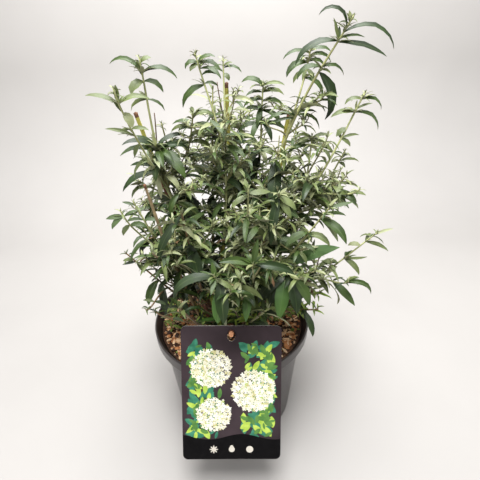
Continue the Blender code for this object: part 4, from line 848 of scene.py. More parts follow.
# Leaves placed one by one, where they draw the outline. For a stem (0 is the shoot's main one): the
# share of its length above which only these grow, the size of its tip's cluster, and the leaves as
# share, heading, pitch at the root and at the tip in degrees, length and width in mm
SET_LEAVES = {
    ("leader", 0): (0.42, 0.30, [
        (0.945, 178, 93, -58, 35, 4.5), (0.925, 2, 34, -76, 54, 5), (0.965, 170, 40, -40, 9, 2),
        (0.97, 100, 80, 70, 9, 3.5), (0.97, 20, 62, 60, 8, 3.0), (0.97, 195, 74, 50, 8, 3.0),
        (0.89, 178, 14, -75, 44, 7), (0.89, 172, 78, 66, 18, 5), (0.90, 4, 22, -22, 22, 3),
        (0.885, 2, 2, -36, 45, 6), (0.895, 90, 75, 60, 11, 3), (0.75, 345, -42, -120, 44, 12),
        (0.77, 180, 30, -88, 27, 5.5), (0.77, 2, 28, -72, 25, 4), (0.76, 350, 15, -60, 11, 3),
        (0.55, 178, 26, -62, 32, 4), (0.55, 3, 18, -86, 30, 4), (0.56, 8, 25, -30, 20, 3),
        (0.54, 184, 4, -38, 28, 3.5), (0.40, 300, -60, -88, 22, 5), (0.33, 262, -35, -86, 48, 13),
        (0.30, 80, -20, -80, 40, 12)]),
    ("leader", 1): (0.50, 0.55, [
        (0.95, 180, 32, -58, 28, 4), (0.97, 0, 38, -50, 22, 4.5), (0.78, 184, -5, -86, 17, 5.5),
        (0.92, 5, 36, -74, 26, 5), (0.87, 0, 26, -84, 22, 5), (0.86, 182, 14, -84, 26, 7),
        (0.70, 350, 0, -88, 26, 5.5),
        (0.80, 320, -30, -88, 15, 5), (0.80, 230, -40, -88, 14, 4)]),
    ("right_top", 0): (0.55, 0.40, [
        (0.965, 178, 35, -76, 17, 4), (0.965, 2, 26, -86, 25, 4), (0.90, 178, 20, -48, 22, 5),
        (0.90, 0, 10, -86, 31, 4.5), (0.91, 120, 80, 110, 9, 2), (0.915, 5, 36, 0, 15, 2.5),
        (0.82, 190, -10, -72, 12, 5.5), (0.76, 2, 32, -20, 18, 3), (0.76, 350, 2, -82, 12, 4.5),
        (0.76, 120, 60, 40, 10, 3)]),
    ("right_top", 1): (0.45, 0.35, [
        (0.50, 350, 15, -50, 24, 3.5), (0.55, 345, 0, -65, 26, 4.5), (0.14, 320, 0, -80, 24, 6),
        (0.15, 120, 50, 10, 20, 5), (0.30, 335, 25, -60, 26, 5), (0.31, 200, 30, -30, 16, 4),
        (0.48, 120, 55, 20, 15, 4), (0.62, 320, 20, -75, 20, 5), (0.63, 90, 60, 30, 12, 3.5),
        (0.76, 345, 30, -40, 17, 4), (0.77, 210, 40, -30, 12, 3.5)]),
    ("right_top", 2): (0.75, 0.60, [
        (0.97, 0, 40, -30, 18, 4), (0.97, 180, 50, -40, 18, 4), (0.93, 0, 20, -75, 22, 5),
        (0.93, 182, 10, -60, 22, 5), (0.85, 350, 25, -70, 26, 5), (0.85, 190, 25, -60, 26, 5)]),
    ("right_mid", 0): (0.85, 0.50, [
        (0.93, 0, 22, -42, 23, 3), (0.92, 350, -5, -75, 9, 4), (0.93, 178, 30, -60, 9, 3)]),
    ("right_mid", 1): (0.80, 0.50, [
        (0.90, 350, 15, -50, 22, 3.5), (0.70, 345, 10, -60, 28, 5), (0.50, 340, 5, -62, 28, 5.5)]),
    ("right_front", 0): (0.75, 0.50, [
        (0.90, 315, 5, -72, 33, 8), (0.93, 0, 25, -42, 22, 3.5), (0.99, 0, 20, 5, 21, 3.5),
        (0.78, 190, 10, -70, 26, 7), (0.77, 330, 20, -60, 24, 6), (0.68, 320, 20, -50, 18, 4),
        (0.67, 170, 40, -20, 22, 5), (0.60, 150, 50, 0, 24, 5), (0.52, 200, 20, -60, 24, 6),
        (0.45, 240, -20, -86, 44, 12), (0.46, 352, 34, 12, 57, 13.5)]),
    ("right_front", 1): (0.60, 0.80, [
        (0.40, 255, -30, -88, 44, 13.2), (0.55, 282, -25, -88, 36, 11),
        (0.70, 320, -30, -84, 30, 9), (0.45, 200, -10, -86, 42, 12)]),
    ("right_low", 0): (0.62, 0.50, [
        (0.97, 10, 25, 5, 20, 3), (0.90, 350, 0, -48, 26, 4.5), (0.86, 180, 40, -60, 14, 5),
        (0.72, 330, -10, -75, 24, 6), (0.73, 0, -12, 8, 24, 3), (0.67, 190, 40, -60, 24, 6)]),
    ("right_low", 1): (0.60, 0.60, [(0.88, 345, 30, -86, 33, 5), (0.50, 322, -24, -46, 32, 8)]),
    ("far_left", 0): (0.50, 0.45, [
        (0.92, 172, 84, 62, 14, 4.5), (0.975, 0, 60, -20, 11, 5), (0.935, 178, 66, -44, 33, 4.5),
        (0.935, 2, 36, -66, 33, 5), (0.90, 215, 5, -82, 17, 9), (0.90, 2, 12, -82, 20, 5.5),
        (0.82, 182, 12, -82, 21, 5), (0.82, 0, 5, -82, 19, 3), (0.82, 150, 55, 30, 10, 3),
        (0.56, 335, -5, -74, 38, 10), (0.57, 184, 30, -42, 36, 5), (0.57, 170, 14, -10, 30, 5),
        (0.54, 200, 8, -84, 34, 4), (0.57, 0, 34, -44, 32, 5.5), (0.56, 350, 16, -52, 24, 5),
        (0.57, 240, 50, 10, 18, 5), (0.57, 290, 10, -60, 26, 7), (0.56, 265, -20, -88, 30, 8),
        (0.58, 120, 70, 60, 14, 4), (0.575, 20, 60, 20, 16, 4), (0.58, 194, 52, -34, 34, 5.5),
        (0.585, 150, 40, 5, 24, 4.5), (0.59, 20, 46, -36, 36, 5), (0.57, 312, 20, -62, 26, 6)]),
    ("far_left", 1): (0.45, 0.40, [
        (0.90, 180, 40, -12, 27, 4.5), (0.90, 0, 42, -38, 27, 5), (0.92, 90, 85, 88, 12, 4.5),
        (0.84, 335, -25, -88, 14, 7.5), (0.84, 165, 60, 45, 12, 3), (0.72, 180, 12, -30, 10, 3),
        (0.72, 0, 18, -32, 15, 4), (0.66, 180, 30, 4, 25, 4), (0.60, 195, -40, -88, 13, 5),
        (0.38, 65, -72, -95, 33, 9)]),
    ("left_centre", 0): (0.80, 0.60, [
        (0.955, 180, 35, -88, 15, 5), (0.95, 195, 0, -72, 10, 5), (0.955, 0, 24, -66, 23, 4.5),
        (0.93, 350, 18, -70, 24, 4), (0.94, 20, 40, -50, 22, 4), (0.96, 350, 50, -30, 18, 4),
        (0.90, 5, 35, -60, 20, 4), (0.855, 184, -2, -88, 31, 7.5), (0.86, 0, 30, -62, 14, 3.5)]),
    ("left_centre", 1): (0.78, 0.50, [
        (0.93, 0, 30, -66, 20, 3.5), (0.94, 5, 48, -12, 10, 3), (0.89, 330, -10, -88, 9, 5),
        (0.90, 178, 40, -20, 18, 3.5)]),
    ("centre", 0): (0.75, 0.50, [
        (0.98, 178, 62, -48, 25, 6), (0.985, 0, 28, -30, 22, 4), (0.95, 180, 25, -50, 18, 4),
        (0.95, 0, 30, -55, 24, 5.5), (0.91, 185, 20, -70, 22, 5.5), (0.90, 15, 24, -64, 26, 5.5),
        (0.87, 250, -20, -88, 22, 5.5), (0.85, 335, 5, -82, 26, 6), (0.85, 165, 34, -52, 22, 5),
        (0.80, 300, -20, -88, 26, 6), (0.80, 230, -10, -88, 26, 6), (0.77, 0, 24, -60, 28, 5.5),
        (0.77, 182, 24, -60, 26, 5.5),
        (0.58, 250, -10, -82, 38, 10)]),
    ("left_upper", 0): (0.80, 0.40, [
        (0.87, 0, 26, -38, 24, 4.5), (0.86, 182, 12, -45, 15, 4), (0.22, 300, -30, -86, 46, 11)]),
    ("left_upper", 1): (0.50, 0.80, [
        (0.93, 182, 20, -40, 20, 3.5), (0.88, 185, 0, -35, 14, 2.5), (0.97, 0, 45, -50, 22, 4.5),
        (0.97, 90, 60, 0, 14, 4), (0.86, 0, 40, -58, 24, 5), (0.85, 172, 35, -62, 23, 4.5),
        (0.78, 20, 30, -60, 18, 4), (0.70, 0, 25, -66, 24, 5), (0.70, 188, 20, -72, 24, 5),
        (0.60, 120, 60, 30, 14, 4), (0.55, 180, 20, -60, 18, 3.5), (0.55, 0, 25, -50, 20, 4)]),
    ("left_mid", 0): (0.75, 0.45, [
        (0.97, 180, 20, 8, 12, 3), (0.83, 178, 25, -35, 18, 3.5), (0.83, 2, 20, -40, 16, 4)]),
    ("left_mid", 1): (0.60, 0.50, [
        (0.93, 180, 5, -15, 15, 5), (0.93, 200, -10, -70, 15, 5), (0.93, 10, 35, 5, 13, 3),
        (0.80, 200, -20, -84, 12, 5), (0.80, 0, 20, -45, 15, 5), (0.78, 5, 15, -80, 18, 3)]),
    ("left_low", 0): (0.62, 0.50, [
        (0.62, 208, -40, -86, 30, 9), (0.59, 290, -55, -90, 37, 8.5),
        (0.90, 182, 20, -45, 14, 3.5), (0.88, 185, 0, -20, 14, 3), (0.85, 0, 5, -25, 26, 3.5),
        (0.88, 330, -20, -80, 14, 5)]),
    ("left_low", 1): (0.05, 0.40, [(0.60, 170, 30, -20, 12, 3), (0.60, 350, 20, -40, 13, 3.5)]),
    ("front_top", 0): (0.85, 0.60, [
        (0.97, 358, 8, -12, 18, 5), (0.95, 215, 0, -60, 18, 5), (0.97, 120, 60, 50, 12, 4),
        (0.60, 345, 20, -70, 26, 5)]),
    ("front_top", 1): (0.80, 0.60, [
        (0.97, 340, -15, -55, 19, 6), (0.93, 325, -30, -60, 20, 6), (0.98, 20, 45, 35, 10, 3),
        (0.99, 240, -50, -88, 44, 8), (0.85, 335, -10, -50, 24, 7)]),
    ("front_low", 0): (0.85, 0.40, [
        (0.99, 182, 30, -8, 28, 6.5), (0.99, 350, 8, -46, 36, 7), (0.99, 40, 80, 70, 22, 5)]),
    ("front_low", 1): (0.60, 0.50, [
        (0.70, 250, -30, -86, 34, 13.2), (0.86, 285, -42, -88, 36, 11),
        (0.97, 190, 25, -84, 45, 7.6), (0.97, 110, 70, 60, 13, 4.5), (0.95, 260, -10, -40, 15, 4),
        (0.94, 330, -10, -50, 19, 4.5)]),
    ("left_front", 0): (1.0, 0.80, [(0.72, 300, -50, -88, 38, 11), (0.98, 200, -42, -80, 52, 8)]),
    ("low_front_left", 1): (0.30, 0.40, [
        (0.60, 170, 30, -20, 12, 3), (0.60, 350, 20, -40, 13, 3.5)]),
    ("back_top", 0): (1.0, 0.80, [(0.30, 262, -10, -82, 34, 9)]),
    ("rim_right", 0): (1.0, 0.80, [(0.80, 300, -20, -86, 30, 7)]),
}

# A leaf's youth runs from 0, old and dark, to 1, young and downy, and grows with its height. A
# placed leaf is the older the longer it is, and is rolled to show its face to the front.
PLACED_YOUTH, LENGTH_AGEING, PLACED_MIDDLE, FACE_FRONT = 0.34, 0.016, 24, 0.75
MIDDLE_HEIGHT, HEIGHT_FADE = 0.25, 1.0
FROM_RULE, FROM_TABLE, FROM_SEEDLING = 0, 1, 2
grow_dice = np.random.default_rng(17)


class Stem:
    """A path with its length measured, so that places on it can be named by share."""

    NEARBY = 0.04

    def __init__(self, points):
        self.points = points
        steps = np.linalg.norm(np.diff(points, axis=0), axis=1)
        self.reach = np.concatenate([[0], np.cumsum(steps)])
        self.length = float(self.reach[-1])

    def at(self, share):
        """The place at a share of the length."""
        reach = share * self.length
        return np.array([np.interp(reach, self.reach, self.points[:, i]) for i in range(3)])

    def along(self, share):
        """The direction there, from a place just below to one just above."""
        below, above = max(share - self.NEARBY, 0.0), min(share + self.NEARBY, 1.0)
        return unit(self.at(above) - self.at(below))

    def side(self, share, tip, rings):
        """The path of a side shoot or twig from there to its tip."""
        return side_path(self.at(share), self.along(share), np.array(tip), np.linspace(0, 1, rings))


def heading_vector(heading, pitch):
    """A unit vector from a compass heading (0 is +X, 90 is +Y) and a pitch, in radians."""
    level = math.cos(pitch)
    return np.array([level * math.cos(heading), level * math.sin(heading), math.sin(pitch)])


def near(middle, stray):
    """A value by chance, no further than stray from the middle."""
    return middle + grow_dice.uniform(-stray, stray)


leaves, twigs = [], []


def add_leaf(root, heading, first, last, length, width, youth, roll=0.0, origin=FROM_RULE):
    """Notes a leaf: root, heading, pitch at root and tip in degrees, size, youth, roll, origin."""
    leaves.append((*root, heading, math.radians(first), math.radians(max(last, LOWEST_PITCH)),
                   length, width, youth, roll, origin))


def add_cluster(stem, size, youth, turn):
    """The cluster at a tip: the outer pairs long and arching, the inner ones short and upright."""
    for scale, first, last, below, slender in CLUSTER:
        root = stem.at(max(1 - below * size / stem.length, 0))
        for side in (0, math.pi):
            length = size * scale * grow_dice.uniform(*CLUSTER_SIZE)
            add_leaf(root, near(turn + side, CLUSTER_TURN), near(first, CLUSTER_RISE),
                     near(last, CLUSTER_FALL), length,
                     length * slender * grow_dice.uniform(*CLUSTER_WIDTH), youth,
                     grow_dice.normal(0, CLUSTER_ROLL))
        turn += math.pi / 2
        youth += PAIR_YOUTH


def add_tuft(root, heading, youth):
    """A few small leaves that open in an axil."""
    for turn in TUFT_TURNS:
        length = TUFT_LEAF * grow_dice.uniform(*TUFT_SIZE)
        add_leaf(root, near(heading + turn, TUFT_STRAY), grow_dice.uniform(*TUFT_RISE),
                 grow_dice.uniform(*TUFT_FALL), length, length * TUFT_SLENDER, youth)


def add_pairs(stem, first, spacing, lengths, youth, leafy, top=1.0, size=1.0):
    """Leaf pairs up a stem, closer and smaller to the tip.

    Leafy is the share of axils with twigs, and size scales those twigs.
    """
    reach, turn = first, near(0, PAIR_TURN)
    while reach < top * stem.length - lengths[1] * TIP_ROOM:
        share = reach / stem.length
        slender = np.interp(share, (0, 1), SLENDERNESS)
        for side in (0, math.pi):
            heading = near(turn + side, LEAF_TURN)
            length = np.interp(share, (0, 1), lengths) * grow_dice.uniform(*LEAF_SIZE)
            rise = grow_dice.uniform(*LEAF_RISE) + RISE_TO_TIP * share
            fall = rise - grow_dice.uniform(*LEAF_FALL) + LIFT_TO_TIP * share
            width = length * slender * grow_dice.uniform(*LEAF_WIDTH)
            add_leaf(stem.at(share), heading, rise, fall, length, width,
                     youth + YOUTH_TO_TIP * share, grow_dice.normal(0, LEAF_ROLL))
            if leafy and grow_dice.random() < leafy * np.interp(share, (0, 1), TWIG_CHANCE):
                add_twig(stem, share, heading, youth + TWIG_YOUTH, size)
            elif leafy and size == 1.0:
                add_tuft(stem.at(share), heading, youth + TUFT_YOUTH)
        reach += np.interp(share, (0, 1), spacing)
        turn += math.pi / 2
    return turn


def add_twig(stem, share, heading, youth, size):
    """A fine leafy twig from an axil: it leaves up along its stem, bends outwards, and may fork."""
    length = np.interp(share, (0, 1), TWIG_LENGTH) * grow_dice.uniform(*TWIG_SIZE) * size
    away = heading_vector(near(heading, TWIG_TURN), grow_dice.uniform(*TWIG_PITCH))
    twig = Stem(stem.side(share, stem.at(share) + away * length, TWIG_RINGS))
    twigs.append(twig.points)
    forks = FORK_CHANCE if length > FORK_LENGTH else 0
    turn = add_pairs(twig, length * TWIG_FIRST, TWIG_SPACING, TWIG_LEAF, youth + TWIG_YOUTH * share,
                     forks, size=FORK_SIZE)
    scale = SMALLEST_CLUSTER + (1 - SMALLEST_CLUSTER) * size
    add_cluster(twig, TWIG_LEAF[1] * grow_dice.uniform(*TWIG_CLUSTER) * scale,
                youth + TWIG_TIP_YOUTH, turn)


stem_paths, stem_bark, stem_starts = [], [], []
bare_dice = np.random.default_rng(41)
for name, (ring, _, radius, middle, tip, sides) in SHOOTS.items():
    foot, out = feet[name]
    leafy, paler = THIN.get(name, 1.0), PALER.get(name, 0.0)
    bough = Stem(shoot_path(foot, out, middle, tip, np.linspace(0, LIMB_END[ring], STEM_RINGS)))
    for share in bare_dice.uniform(*BARE_PLACE, BARE_TWIGS):
        away = heading_vector(bare_dice.uniform(0, 2 * math.pi), bare_dice.uniform(*BARE_PITCH))
        bare_tip = bough.at(share) + away * bare_dice.uniform(*BARE_LENGTH)
        twigs.append(bough.side(share, bare_tip, TWIG_RINGS))
    add_pairs(bough, BARE_BOUGH * bough.length, PAIR_SPACING, BOUGH_LEAF, BOUGH_YOUTH, leafy)
    main = Stem(shoot_path(foot, out, middle, tip, np.linspace(LIMB_END[ring], 1, STEM_RINGS)))
    grown = [main] + [Stem(main.side(share, side_tip, STEM_RINGS)) for share, side_tip in sides]
    for number, stem in enumerate(grown):
        top, tip_size, set_leaves = SET_LEAVES.get((name, number), (1.0, 1.0, []))
        for share, degrees, first, last, length, width in set_leaves:
            root, heading = stem.at(share), math.radians(degrees)
            youth = (PLACED_YOUTH + paler - LENGTH_AGEING * (length - PLACED_MIDDLE)
                   - HEIGHT_FADE * (root[2] - MIDDLE_HEIGHT))
            add_leaf(root, heading, first, last, length / 1000, width / 1000, youth,
                     FACE_FRONT * math.cos(heading), FROM_TABLE)
            if length > TUFTED_LEAF:
                add_tuft(root, heading, SET_TUFT_YOUTH)
        turn = add_pairs(stem, FIRST_PAIR, PAIR_SPACING, LEAF_LENGTH, STEM_YOUTH + paler, leafy,
                         top)
        add_cluster(stem, LEAF_LENGTH[1] * tip_size, CLUSTER_YOUTH, turn)
    stem_paths += [stem.points for stem in grown]
    stem_bark += [BARK_OF[name]] * len(grown)
    stem_starts += [radius * STEM_SHARE] + [radius * STEM_SHARE * SIDE_SHARE] * len(sides)

limbs = {name: Stem(path) for name, path in zip(PRUNED, pruned_paths)}
for limb, leafy, top in zip(limbs.values(), REGROWTH, REGROWTH_TOP):
    add_pairs(limb, REGROWTH_START * limb.length, PAIR_SPACING, BOUGH_LEAF, REGROWTH_YOUTH, leafy,
              top)
cut_twigs = [limbs[name].side(share, end, TWIG_RINGS) for name, share, end in CUT_TWIGS]

# Lime-green seedlings on the compost: where each stands, how many leaf pairs it has and how far
# apart, and how its leaves are made
SEEDLINGS = [(-0.067, 0.004), (-0.064, 0.022), (-0.073, 0.014), (-0.060, 0.012), (-0.069, -0.016),
             (0.072, -0.008), (0.066, 0.006), (0.037, 0.030), (0.017, 0.018)]
SEEDLING_PAIRS, SEEDLING_STEP, SEEDLING_LEAN = 3, 0.0045, 0.25
SEEDLING_LEAF, SEEDLING_SLENDER, SEEDLING_YOUTH = (0.008, 0.014), 0.32, 0.5
SEEDLING_RISE, SEEDLING_FALL = (15, 60), (-40, 10)
seedling_dice = np.random.default_rng(53)
for x, y in SEEDLINGS:
    ground = np.array([x, y, float(compost_height(np.array([x]), np.array([y]))[0])])
    rise = np.array([*seedling_dice.normal(0, SEEDLING_LEAN, 2), 1.0]) * SEEDLING_STEP
    twigs.append(ground + np.linspace(0, SEEDLING_PAIRS, TWIG_RINGS)[:, None] * rise)
    for pair in range(SEEDLING_PAIRS):
        turn = seedling_dice.uniform(0, 2 * math.pi)
        for side in (0, math.pi):
            size = seedling_dice.uniform(*SEEDLING_LEAF)
            add_leaf(ground + (pair + 1) * rise, turn + side, seedling_dice.uniform(*SEEDLING_RISE),
                     seedling_dice.uniform(*SEEDLING_FALL), size, size * SEEDLING_SLENDER,
                     SEEDLING_YOUTH, origin=FROM_SEEDLING)

stem_paths, stem_bark = np.array(stem_paths), np.array(stem_bark)
stem_radii = np.linspace(stem_starts, STEM_END, STEM_RINGS, axis=1)
STEM_COLOURS = {
    "olive": (shade(172, 176, 122), shade(144, 148, 92)),
    "russet": (shade(132, 104, 66), shade(112, 84, 54)),
    "drab": (shade(146, 148, 94), shade(122, 120, 68)),
}
for kind, colours in STEM_COLOURS.items():
    stem_finish = finish("stem_" + kind, *colours, grain=90.0, roughness=0.62, relief=0.0001,
                         relief_grain=1300.0, sheen=0.3)
    mine = stem_bark == kind
    stems = add_shapes("stems_" + kind, [stem_finish],
                       *tubes(stem_paths[mine], stem_radii[mine], STEM_SIDES,
                              relief=0.00006, seed=2))
    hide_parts(*(name + "_foliage" for name in SHOOTS if BARK_OF[name] == kind))
twigs = np.array(twigs)
twig_radii = np.linspace(TWIG_START, TWIG_END, TWIG_RINGS)
brown = twigs[:, 0, 2] < BROWN_BELOW
TWIG_KINDS = {
    "down": (twigs[~brown], shade(142, 144, 98), shade(118, 112, 68)),
    "brown": (np.concatenate([twigs[brown], cut_twigs]), shade(118, 86, 60), shade(90, 66, 46)),
}
for kind, (paths, colour, other) in TWIG_KINDS.items():
    twig_finish = finish("twig_" + kind, colour, other, grain=90.0, roughness=0.7, sheen=0.2)
    twig_piece = add_shapes("twigs_" + kind, [twig_finish],
                            *tubes(paths, np.tile(twig_radii, (len(paths), 1)), TWIG_SIDES))


# Leaves
# Lance-shaped blades, arching over and hooked down at their tips, channelled along a pale midrib,
# green above, with pale felted margins and silver-grey below. Old and low ones are dark and smooth,
# the young ones paler and downier, and the darkest tone is near black: painted shade for the
# shadowed inside of the crown. Each is a closed shell on a grid: along its arching spine, and
# across from edge to edge.
LEAF_THICKNESS, ROOT_THICKENING = 0.00022, 1.2
ARCH_POWER, SWELL_POWER, TAPER_POWER, CHANNEL_POWER = 1.15, 0.8, 0.95, 1.4
RIPPLE_DEPTH, RIPPLES = 0.11, 2.5
LEAF_FOLD, LEAF_VEER = (-0.10, 0.40), 0.25
RIB_SHARE = 0.06
LOW_FADE = 2.2
YOUTH_SPREAD = (0.09, 0.19)

# Tones from the oldest leaves to the youngest, parted by TONE_YOUTH, and then the tones of the
# odd leaves low down. The first, deep, is the old leaves' dark green darkened to near black:
# painted shade for the shadowed inside of the crown. An odd leaf is one below a height, of a
# length, by lot: small grassy ones, large bright ones, also any as wide as BRIGHT_WIDTH, and a
# few small dry ones.
TONE_YOUTH = [0.22, 0.46, 0.69, 0.90]
TONES = {
    # deep: old leaves' dark green with painted shade, near black
    "deep": (shade(20, 36, 6), shade(35, 56, 16)),
    "green": (shade(39, 58, 15), shade(62, 82, 31)),
    "sage": (shade(70, 82, 37), shade(104, 115, 68)),
    "pale": (shade(111, 117, 76), shade(145, 150, 111)),
    "down": (shade(122, 129, 93), shade(150, 156, 123)),
    "grass": (shade(100, 122, 42), shade(126, 144, 58)),
    "bright": (shade(56, 88, 34), shade(70, 102, 42)),
    "dry": (shade(116, 90, 60), shade(92, 68, 46)),
}
GRASS_BELOW, GRASS_LENGTH, GRASS_LOT = 0.185, 0.024, 0.55
ODD_BELOW, BRIGHT_LENGTH, BRIGHT_LOT, BRIGHT_WIDTH = 0.260, 0.030, 0.22, 0.0131
DRY_LENGTH, DRY_LOT = 0.018, 0.980
leaves = np.array(leaves)
leaf_dice = np.random.default_rng(29)
root = leaves[:, :3]
heading, first, last, length, width, own_youth, roll, origin = leaves[:, 3:].T
above = root[:, 2] - MIDDLE_HEIGHT
placed = origin > FROM_RULE
youth = (own_youth + np.where(above > 0, HEIGHT_FADE, LOW_FADE) * above
       + leaf_dice.normal(0, 1, len(leaves)) * np.where(placed, *YOUTH_SPREAD))
tone_of = np.searchsorted(TONE_YOUTH, youth)
lot = leaf_dice.random(len(leaves))
grass, bright, dry = (list(TONES).index(tone) for tone in ("grass", "bright", "dry"))
grassy = ~placed & (root[:, 2] < GRASS_BELOW) & (length < GRASS_LENGTH) & (lot < GRASS_LOT)
odd = ~placed & (root[:, 2] < ODD_BELOW)
tone_of[(origin == FROM_SEEDLING) | grassy] = grass
tone_of[odd & (length > BRIGHT_LENGTH) & (lot < BRIGHT_LOT) | (width > BRIGHT_WIDTH)] = bright
tone_of[odd & (length < DRY_LENGTH) & (lot > DRY_LOT)] = dry
fold = leaf_dice.uniform(*LEAF_FOLD, len(leaves))
veer = leaf_dice.normal(0, LEAF_VEER, len(leaves))
ripple = leaf_dice.uniform(0, 2 * math.pi, len(leaves))


def leaf_spine(mine, stations):
    """Places and axes along the leaves: the pitch runs from root to tip, and the path adds up.

    The stations lie closer together at both ends.
    """
    share = (1 - np.cos(np.linspace(0, math.pi, stations))) / 2
    pitch = first[mine, None] + (last - first)[mine, None] * share ** ARCH_POWER
    bearing = heading[mine, None] + veer[mine, None] * share
    along, side, lift = turned_frames(bearing, pitch, roll[mine, None])
    step = (along[:, 1:] + along[:, :-1]) / 2 * (length[mine, None] * np.diff(share))[..., None]
    steps = np.concatenate([np.zeros_like(step[:, :1]), np.cumsum(step, axis=1)], axis=1)
    return share, root[mine, None] + steps, side, lift


def leaf_shapes(mine, stations, across):
    """Blades as rings: half-width s^0.8 (1 - s)^0.95, the edges lifted by the fold and rippled."""
    share, path, side, lift = leaf_spine(mine, stations)
    swell = share ** SWELL_POWER * (1 - share) ** TAPER_POWER
    half = width[mine, None] / 2 * swell / swell.max()
    edge = np.concatenate([across, across[-2:0:-1]])
    under = np.concatenate([np.zeros(len(across)), np.ones(len(across) - 2)])
    wave = RIPPLE_DEPTH * np.sin(2 * math.pi * RIPPLES * share + ripple[mine, None])
    channel = np.abs(edge) ** CHANNEL_POWER
    rise = half[..., None] * ((fold[mine, None] + wave)[..., None] * channel)
    thicker = ROOT_THICKENING * (1 - np.abs(edge)) * (1 - share)[:, None]
    rise = rise - under * LEAF_THICKNESS * (1.0 + thicker)
    rings = (path[:, :, None] + side[:, :, None] * (half[..., None] * edge)[..., None]
             + lift[:, :, None] * rise[..., None])
    return rings[:, 1:-1], path[:, 0], path[:, -1]


# Leaves that would run into the pot, the compost or the card, or out of the crown, are left off,
# and so are those, but for the placed ones, that would come into a bare place: one where they
# would hide the chips or close a gap. A bare place is a point and a reach round it.
OVER_COMPOST, OVER_RIM, LOWEST_LEAF = 0.003, 0.002, 0.118
INSIDE_LIP, OUTSIDE_LIP = 0.008, 0.003
BESIDE_CARD, ABOVE_CARD, BEHIND_CARD = 0.004, 0.003, 0.004
TEST_STATIONS = 8
BARE_PLACES = [((-0.068, 0.000, 0.125), 0.022), ((-0.059, -0.040, 0.146), 0.026),
               ((-0.050, -0.075, 0.170), 0.024), ((0.066, -0.010, 0.125), 0.018),
               ((0.060, -0.045, 0.140), 0.022), ((0.055, -0.070, 0.160), 0.018),
               ((-0.071, -0.030, 0.221), 0.009), ((-0.059, -0.030, 0.196), 0.010),
               ((-0.066, 0.000, 0.174), 0.012), ((-0.053, -0.030, 0.209), 0.009),
               ((-0.078, 0.050, 0.137), 0.020), ((-0.094, 0.050, 0.168), 0.016),
               ((-0.062, -0.030, 0.181), 0.010), ((-0.042, -0.030, 0.167), 0.012),
               ((-0.019, -0.030, 0.170), 0.010), ((-0.022, -0.005, 0.148), 0.012),
               ((0.060, 0.034, 0.340), 0.010), ((0.055, 0.015, 0.340), 0.012),
               ((0.050, 0.000, 0.342), 0.012), ((0.052, 0.015, 0.325), 0.010),
               ((-0.052, -0.030, 0.302), 0.009), ((-0.056, -0.015, 0.296), 0.010),
               ((-0.059, 0.000, 0.290), 0.010), ((-0.060, 0.012, 0.285), 0.009),
               ((-0.016, -0.065, 0.197), 0.008), ((-0.018, -0.050, 0.184), 0.009),
               ((0.004, 0.050, 0.357), 0.009), ((0.005, 0.034, 0.359), 0.008),
               ((0.005, 0.018, 0.362), 0.008), ((0.004, 0.050, 0.343), 0.008),
               ((0.005, 0.034, 0.346), 0.008), ((0.005, 0.018, 0.350), 0.007)]
spine = leaf_spine(np.arange(len(leaves)), TEST_STATIONS)[1][:, 1:]
distance, height = np.hypot(spine[..., 0], spine[..., 1]), spine[..., 2]
over_ground = compost_height(spine[..., 0], spine[..., 1]) + OVER_COMPOST
lowest = np.where(distance < LIP_RADIUS - INSIDE_LIP, over_ground, POT_HEIGHT + OVER_RIM)
lowest = np.where(distance > LIP_RADIUS + OUTSIDE_LIP, LOWEST_LEAF, lowest)
kept = (height > lowest).all(axis=1)
kept &= (spine > np.array(cad_box[0])).all(axis=(1, 2))
kept &= (spine < np.array(cad_box[1])).all(axis=(1, 2))
from_card = spine - card_middle
before = ((np.abs(from_card @ card_across) < CARD_WIDTH / 2 + BESIDE_CARD)
          & (np.abs(from_card @ card_up) < CARD_HEIGHT / 2 + ABOVE_CARD)
          & (from_card @ card_out > -BEHIND_CARD))
kept &= ~before.any(axis=1)
for place, reach in BARE_PLACES:
    kept &= (np.linalg.norm(spine - np.array(place), axis=-1) > reach).all(axis=1) | placed

# Each size of leaf: its name, the lengths that it takes in, stations along the blade, points
# across it from edge to edge, and the strip of faces between them that is the midrib
BROAD = np.array([1.0, 0.7, 0.38, RIB_SHARE, -RIB_SHARE, -0.38, -0.7, -1.0])
MIDDLING = np.array([1.0, 0.5, RIB_SHARE, -RIB_SHARE, -0.5, -1.0])
NARROW = np.array([1.0, 0.0, -1.0])
SIZES = [("broad_", 0.030, 1.0, 11, BROAD, 3), ("leaves_", 0.021, 0.030, 9, MIDDLING, 2),
         ("leaflets_", 0.0, 0.021, 7, NARROW, None)]
RIB_PALE, RIB_MIX, BLADE_ANGLE = shade(176, 184, 130), 0.1, 75
felt = finish("leaf_felt", shade(160, 162, 126), shade(140, 144, 108), grain=60.0,
              roughness=0.85, relief=0.00006, relief_grain=2500.0, sheen=0.1)
for number, (tone, (colour, other)) in enumerate(TONES.items()):
    blade = finish("leaf_" + tone, colour, other, grain=70.0, roughness=0.50, relief=0.00010,
                   relief_grain=1200.0, shine=0.45)
    rib_colour = tuple((1 - RIB_MIX) * c + RIB_MIX * p for c, p in zip(other, RIB_PALE))
    rib = finish("rib_" + tone, rib_colour, other, grain=45.0, roughness=0.6)
    for size, shortest, longest, stations, across, rib_strip in SIZES:
        mine = kept & (tone_of == number) & (length > shortest) & (length <= longest)
        lower = len(across) - 1
        dress = np.zeros((stations - 2, 2 * lower), int)
        dress[:, lower:] = 1
        if rib_strip:
            dress[:, rib_strip] = 2
        if mine.any():
            sprays = add_shapes(size + tone, [blade, felt, rib],
                                *leaf_shapes(np.flatnonzero(mine), stations, across),
                                dress=dress, lower=lower, sharp=BLADE_ANGLE)


